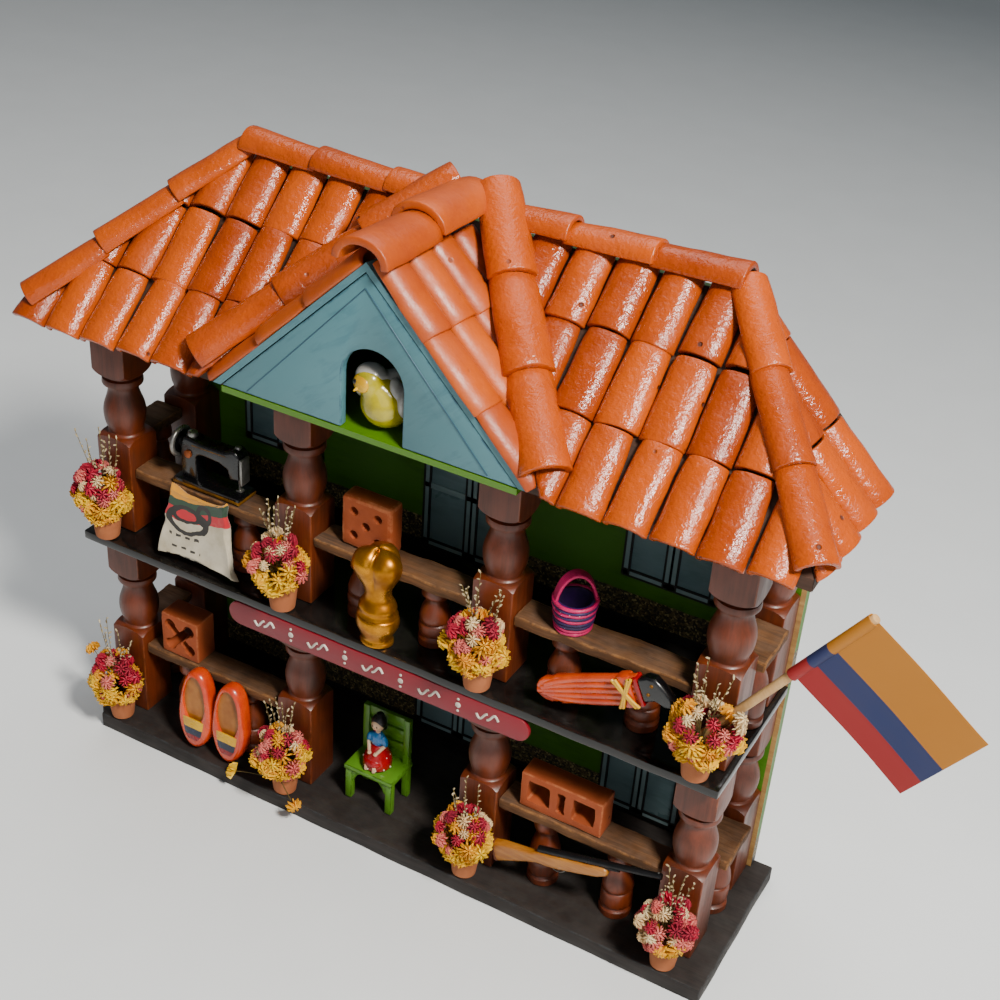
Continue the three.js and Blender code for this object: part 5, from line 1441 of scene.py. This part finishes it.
# The chair and the doll that sits on it.
def makeChair():
    low, high = corners("chair")
    leg, seat = 2.6, 2.0
    seatTop = low.z + 15
    parts = []
    for x in (low.x, high.x - leg):
        parts.append(block((x, low.y, low.z), (x + leg, low.y + leg, seatTop - 1), 0.35, material="chairGreen"))
        post = block((x, high.y - leg, low.z), (x + leg, high.y - 0.2, high.z - 0.5), 0.35, [(2, 8)], 0.1, "chairGreen")
        parts.append(post)
    parts.append(block((low.x - 0.4, low.y - 0.5, seatTop - seat), (high.x + 0.4, high.y, seatTop), 0.5, [(0, 6), (1, 4)], 0.12, "chairGreen"))
    arch = [(low.x + leg - 0.5, seatTop - seat), (high.x - leg + 0.5, seatTop - seat), (high.x - leg + 0.5, seatTop - 7.2)]
    arch += arc(((low.x + high.x) / 2, seatTop - 7.6), 6.2, 12, 168, 10) + [(low.x + leg - 0.5, seatTop - 7.2)]
    for y in (low.y + 0.3, high.y - leg + 0.3):
        parts.append(cutOut(arch, y, y + 1.5, 0.25, "chairGreen"))
    for z, tall in ((seatTop + 4.5, 3.4), (seatTop + 10.5, 3.4), (seatTop + 15.6, 4.0)):
        parts.append(block((low.x + 0.6, high.y - 2.0, z), (high.x - 0.6, high.y - 0.4, z + tall), 0.4, [(0, 4)], 0.1, "chairGreen"))
    parts.append(block((low.x + 1.5, high.y - 1.2, seatTop), (high.x - 1.5, high.y - 0.4, high.z - 2), 0.2, material="chairGreen"))
    place(joinAll(parts), "greenChair", ["chair"], slot="chair_green")

def makeDoll():
    low, high = corners("doll")
    x, y, z = (low.x + high.x) / 2, (low.y + high.y) / 2, low.z
    skirt = turned(curved([(0, 0), (0, 0), (4.6, 0.0), (5.2, 1.2), (5.0, 3.4), (4.0, 6.0), (2.8, 8.2), (2.2, 9.2), (2.2, 9.2), (0, 9.2)], 3),
                   (x, y, z), 24, "red", 60)
    lap = ball((x, y - 2.6, z + 2.8), (3.9, 3.0, 2.5), "red")
    chest = blend([ball((x, y, z + 11.4), (2.9, 2.3, 3.4)), ball((x - 2.9, y - 0.4, z + 11.6), (1.25, 1.3, 2.5), turn=(0, 18, 0)),
                   ball((x + 2.9, y - 0.4, z + 11.6), (1.25, 1.3, 2.5), turn=(0, -18, 0))], 0.4, 5)
    chest.data.materials.append(finishes["blouse"])
    parts = [skirt, lap, chest]
    for way in (-1, 1):
        parts.append(rod((x + way * 3.2, y - 0.8, z + 9.8), (x + way * 1.5, y - 3.2, z + 7.4), 0.75, "skin", 0.6, 10, 0.2))
        parts.append(ball((x + way * 1.2, y - 3.5, z + 7.1), (0.8, 0.8, 0.7), "skin", segments=10, rings=8))
        parts.append(rod((x + way * 1.6, y - 4.6, z + 2.4), (x + way * 1.6, y - 5.0, z + 0.2), 0.8, "skin", 0.7, 10, 0.2))
    parts.append(rod((x, y, z + 14), (x, y - 0.1, z + 16), 0.9, "skin", 0.9, 10))
    parts.append(ball((x, y - 0.3, z + 18.0), (2.35, 2.3, 2.7), "skin"))
    hair = blend([ball((x, y + 0.5, z + 18.8), (2.9, 2.7, 2.9)), ball((x, y + 1.6, z + 16.6), (2.7, 1.6, 2.6)),
                  ball((x, y + 1.0, z + 21.2), (1.6, 1.5, 1.2))], 0.4, 4)
    hair.data.materials.append(finishes["hair"])
    face = ball((x, y - 2.6, z + 17.9), (2.0, 2.0, 2.2))
    carve(hair, [face])
    parts.append(smooth(hair, 60))
    for way in (-1, 1):
        parts.append(ball((x + way * 0.8, y - 2.45, z + 18.3), (0.24, 0.2, 0.3), "hair", segments=8, rings=6))
    parts.append(ball((x, y - 2.6, z + 17.6), (0.24, 0.3, 0.32), "skin", segments=8, rings=6))
    parts.append(ball((x, y - 2.35, z + 16.7), (0.5, 0.25, 0.16), "red", segments=10, rings=6))
    for i in range(16):
        angle = i * 2.4
        height = 1.0 + (i % 5) * 1.3
        radius = 5.25 - max(0, height - 2.4) * 0.42
        parts.append(ball((x + radius * math.cos(angle), y + radius * math.sin(angle), z + height), (0.36, 0.36, 0.36), "white", segments=8, rings=6))
    place(joinAll(parts), "seatedDoll", ["doll"], slot="doll_blue")
    print("chair and doll made")


# The cloth sack. It is blown up and left to settle at ten times its size, where the cloth solver is steady.
sack = {"scale": 10.0, "pressure": 3.2, "frames": 20, "cap": 2.2}

def sackMaterial():
    low, high = corners("coffee_sack")
    material, tree, shader, vector = startMaterial("sackCloth", 0.9, Sheen_Weight=0.25)
    split = addNode(tree, "ShaderNodeSeparateXYZ", {0: vector}).outputs
    threads = []
    for axis in (0, 2):
        threads.append(maths(tree, "SINE", maths(tree, "MULTIPLY", split[axis], 2 * math.pi / (0.55 * mm))))
    weave = maths(tree, "MULTIPLY", threads[0], threads[1])
    soil = noiseAt(tree, vector, 120, 4, 0.65)
    cloth = mixColor(tree, between(tree, soil, 0.3, 0.75), hexColor("B8AC92"), hexColor("E2D8C4"))
    x = maths(tree, "DIVIDE", maths(tree, "SUBTRACT", split[0], (low.x + 4) * mm), mm)
    z = maths(tree, "DIVIDE", maths(tree, "SUBTRACT", split[2], low.z * mm), mm)
    wavy = maths(tree, "MULTIPLY_ADD", noiseAt(tree, vector, 210, 2), 2.2, z)
    arch = maths(tree, "MULTIPLY_ADD", maths(tree, "SINE", maths(tree, "MULTIPLY_ADD", x, 0.17, 0.3)), 1.8, wavy)
    front = maths(tree, "LESS_THAN", maths(tree, "SUBTRACT", split[1], maths(tree, "MULTIPLY", split[2], 0.20)),
                  (low.y + 3.0) * mm - 0.2 * low.z * mm)
    color = cloth
    reach = maths(tree, "LESS_THAN", x, 25.5)
    for finish, start, end in (("C42A34", 18.6, 22.4), ("22402C", 22.4, 26.0), ("E09A28", 26.0, 32.0)):
        above = maths(tree, "GREATER_THAN", arch, start)
        below = maths(tree, "LESS_THAN", arch, end)
        band = maths(tree, "MULTIPLY", maths(tree, "MULTIPLY", above, below), maths(tree, "MULTIPLY", front, reach))
        worn = maths(tree, "MULTIPLY", band, between(tree, soil, 0.2, 0.4, 0.75, 1.0))
        color = mixColor(tree, worn, color, hexColor(finish))
    for centre, radii, width in (((9.0, 17.6), (7.4, 4.2), 0.16), ((8.2, 19.4), (5.0, 2.3), 0.2), ((15.2, 21.4), (2.6, 3.0), 0.3)):
        u = maths(tree, "DIVIDE", maths(tree, "SUBTRACT", x, centre[0]), radii[0])
        v = maths(tree, "DIVIDE", maths(tree, "SUBTRACT", wavy, centre[1]), radii[1])
        away = maths(tree, "SQRT", maths(tree, "ADD", maths(tree, "MULTIPLY", u, u), maths(tree, "MULTIPLY", v, v)))
        line = maths(tree, "LESS_THAN", maths(tree, "ABSOLUTE", maths(tree, "SUBTRACT", away, 1.0)), width)
        color = mixColor(tree, maths(tree, "MULTIPLY", line, front), color, hexColor("1C1814"))
    for level in (10.6, 6.4, 3.4):
        row = maths(tree, "LESS_THAN", maths(tree, "ABSOLUTE", maths(tree, "SUBTRACT", wavy, level + 1.1)), 0.42)
        dashes = maths(tree, "GREATER_THAN", maths(tree, "SINE", maths(tree, "MULTIPLY_ADD", x, 1.7, level)), -0.1)
        inside = maths(tree, "LESS_THAN", maths(tree, "ABSOLUTE", maths(tree, "SUBTRACT", x, 8.5)), 6.5)
        mark = maths(tree, "MULTIPLY", maths(tree, "MULTIPLY", row, dashes), maths(tree, "MULTIPLY", inside, front))
        color = mixColor(tree, mark, color, hexColor("2A241C"))
    tree.links.new(color, shader.inputs["Base Color"])
    height = maths(tree, "MULTIPLY_ADD", weave, 0.35, soil)
    addBump(tree, shader, height, 0.4, 0.12)
    return material

def makeSack():
    low, high = corners("coffee_sack")
    centre = (low + high) / 2
    topLeft, topRight = low.x + 3.6, low.x + 29.4
    lean = 5.2
    rows, across = 30, 34
    points, faces = [], []
    for face in (0, 1):
        for i in range(rows + 1):
            t = i / rows
            left = low.x + 0.6 + (topLeft - low.x) * t - 1.6 * math.sin(math.pi * t)
            right = high.x - 0.4 - (high.x - topRight) * t ** 0.55 + 1.2 * math.sin(math.pi * t)
            for j in range(across + 1):
                u = j / across
                puff = math.sin(math.pi * u) ** 0.5 * min(1, 7 * t, 7 * (1 - t))
                side = 1.75 * puff * (1 if face else -1)
                z = low.z + 0.5 + t * (high.z - low.z - 1.0) + 1.0 * (abs(2 * u - 1) ** 3) * max(0, t - 0.85) / 0.15
                points.append((left + (right - left) * u, low.y + 2.2 + lean * t + side, z))
    count = (rows + 1) * (across + 1)
    for face in (0, 1):
        for i in range(rows):
            for j in range(across):
                a = face * count + i * (across + 1) + j
                quad = (a, a + 1, a + across + 2, a + across + 1)
                faces.append(quad if not face else quad[::-1])
    body = meshFrom(points, [], faces)
    body.data.transform(Matrix.Scale(sack["scale"], 4) @ Matrix.Translation(-centre * mm))
    activate(body)
    bpy.ops.object.mode_set(mode="EDIT")
    bpy.ops.mesh.select_all(action="SELECT")
    bpy.ops.mesh.remove_doubles(threshold=2e-5)
    bpy.ops.mesh.normals_make_consistent(inside=False)
    bpy.ops.object.mode_set(mode="OBJECT")
    start = [vertex.co.copy() for vertex in body.data.vertices]
    cloth = body.modifiers.new("cloth", "CLOTH")
    cloth.settings.use_pressure = True
    cloth.settings.uniform_pressure_force = sack["pressure"]
    cloth.settings.effector_weights.gravity = 0
    cloth.settings.tension_stiffness = 20
    cloth.settings.bending_stiffness = 2.0
    cloth.settings.shrink_min = -0.03
    cloth.point_cache.frame_end = sack["frames"]
    for step in range(1, sack["frames"] + 1):
        bpy.context.scene.frame_set(step)
    activate(body)
    bpy.ops.object.modifier_apply(modifier="cloth")
    bpy.context.scene.frame_set(1)
    limit = sack["cap"] * mm * sack["scale"]
    for vertex, before in zip(body.data.vertices, start):
        move = vertex.co - before
        if move.length > limit:
            vertex.co = before + move * limit / move.length
    applyModifier(body, "SUBSURF", levels=1, render_levels=1)
    body.data.transform(Matrix.Translation(centre * mm) @ Matrix.Scale(1 / sack["scale"], 4))
    for vertex in body.data.vertices:
        vertex.co += noise.noise_vector(vertex.co * 160) * 0.35 * mm
        vertex.co.z = max(vertex.co.z, (low.z + 0.05) * mm)
        vertex.co.y = min(vertex.co.y, (high.y + 0.1) * mm)
    body.data.materials.append(sackMaterial())
    place(smooth(body, 60), "clothSack", ["coffee_sack"], slot="sack_cloth")
    print("sack settled")


# The paper flag on its stick. The paper is one sheet glued round the stick, in three bands.
paper = {"hoist": 32.0, "fly": 43.5, "thick": 0.32, "ripple": 0.9, "sleeve": 1.75}
stickSize = {"radius": 1.45, "length": 76.0, "lean": 34.5}

def flagMaterial():
    material, tree, shader, vector = startMaterial("flagPaper", 0.62)
    across = addNode(tree, "ShaderNodeAttribute", attribute_name="hoistway").outputs["Fac"]
    fine = noiseAt(tree, vector, 900, 3, 0.6)
    soft = between(tree, noiseAt(tree, vector, 60, 2), 0.3, 0.7)
    color = mixColor(tree, maths(tree, "GREATER_THAN", across, 0.5), hexColor("122558"), hexColor("B8780A"))
    color = mixColor(tree, maths(tree, "LESS_THAN", across, 0.25), color, hexColor("98101E"))
    color = mixColor(tree, maths(tree, "MULTIPLY", soft, 0.06), color, hexColor("7A5A2A"))
    tree.links.new(color, shader.inputs["Base Color"])
    addBump(tree, shader, fine, 0.2, 0.05)
    return material

def makeFlag():
    low, high = corners("flag_pole")
    lean = math.radians(stickSize["lean"])
    along = Vector((math.sin(lean), 0, math.cos(lean)))
    outward = Vector((math.cos(lean), 0, -math.sin(lean)))
    foot = Vector((columnX[3] - 2.7, (low.y + high.y) / 2, deckTop + 10.8))
    stick = rod(foot, foot + along * stickSize["length"], stickSize["radius"], "stick", stickSize["radius"] * 0.96, 20, 0.3)
    activate(stick)
    place(roughen(stick, 0.06, 500), "flagStick", ["flag_pole"], "flag_pole", "pale_wood")
    first = stickSize["length"] - paper["hoist"] - 1
    rows, columns, wrap = 14, 22, 12
    points, faces, shares = [], [], []
    for i in range(rows + 1):
        v = i / rows
        onStick = foot + along * (first + v * paper["hoist"])
        for j in range(wrap + columns + 1):
            if j < wrap:
                angle = -math.pi + 0.35 + (2 * math.pi - 0.7) * j / wrap
                spot = onStick - outward * math.cos(angle) * -paper["sleeve"] * -1 + Vector((0, 1, 0)) * math.sin(angle) * paper["sleeve"]
            else:
                u = (j - wrap) / columns
                out = paper["sleeve"] * 0.94 + u * (paper["fly"] - paper["sleeve"])
                wave = paper["ripple"] * math.sin(u * 4.2 + v * 0.8) * u
                spot = onStick + outward * out + Vector((0, 1, 0)) * (0.55 * (1 - u) + wave)
            points.append(tuple(spot))
            shares.append(v)
    wide = wrap + columns + 1
    for i in range(rows):
        for j in range(wide - 1):
            a = i * wide + j
            faces.append((a, a + 1, a + wide + 1, a + wide))
    sheet = meshFrom(points, [], faces)
    attribute = sheet.data.attributes.new("hoistway", "FLOAT", "POINT")
    attribute.data.foreach_set("value", shares)
    applyModifier(sheet, "SOLIDIFY", thickness=paper["thick"] * mm, offset=0)
    sheet.data.materials.append(flagMaterial())
    place(smooth(sheet, 50), "flagPaper", ["flag"], "flag", "flag_paper")
    print("flag raised")


addCamera()
addLights()
addFloor()
makeBase()
makeDeck()
makeGable()
makeSign()
makeTileFields()
makeCaps()
makeColumns()
makeRails()
makeOpenings()
makePots()
makeBird()
makeSewingMachine()
makeBricks()
makeGoldOrnament()
makeBasket()
makeMachete()
makeShotgun()
makeClogs()
makeChair()
makeDoll()
makeSack()
makeFlag()
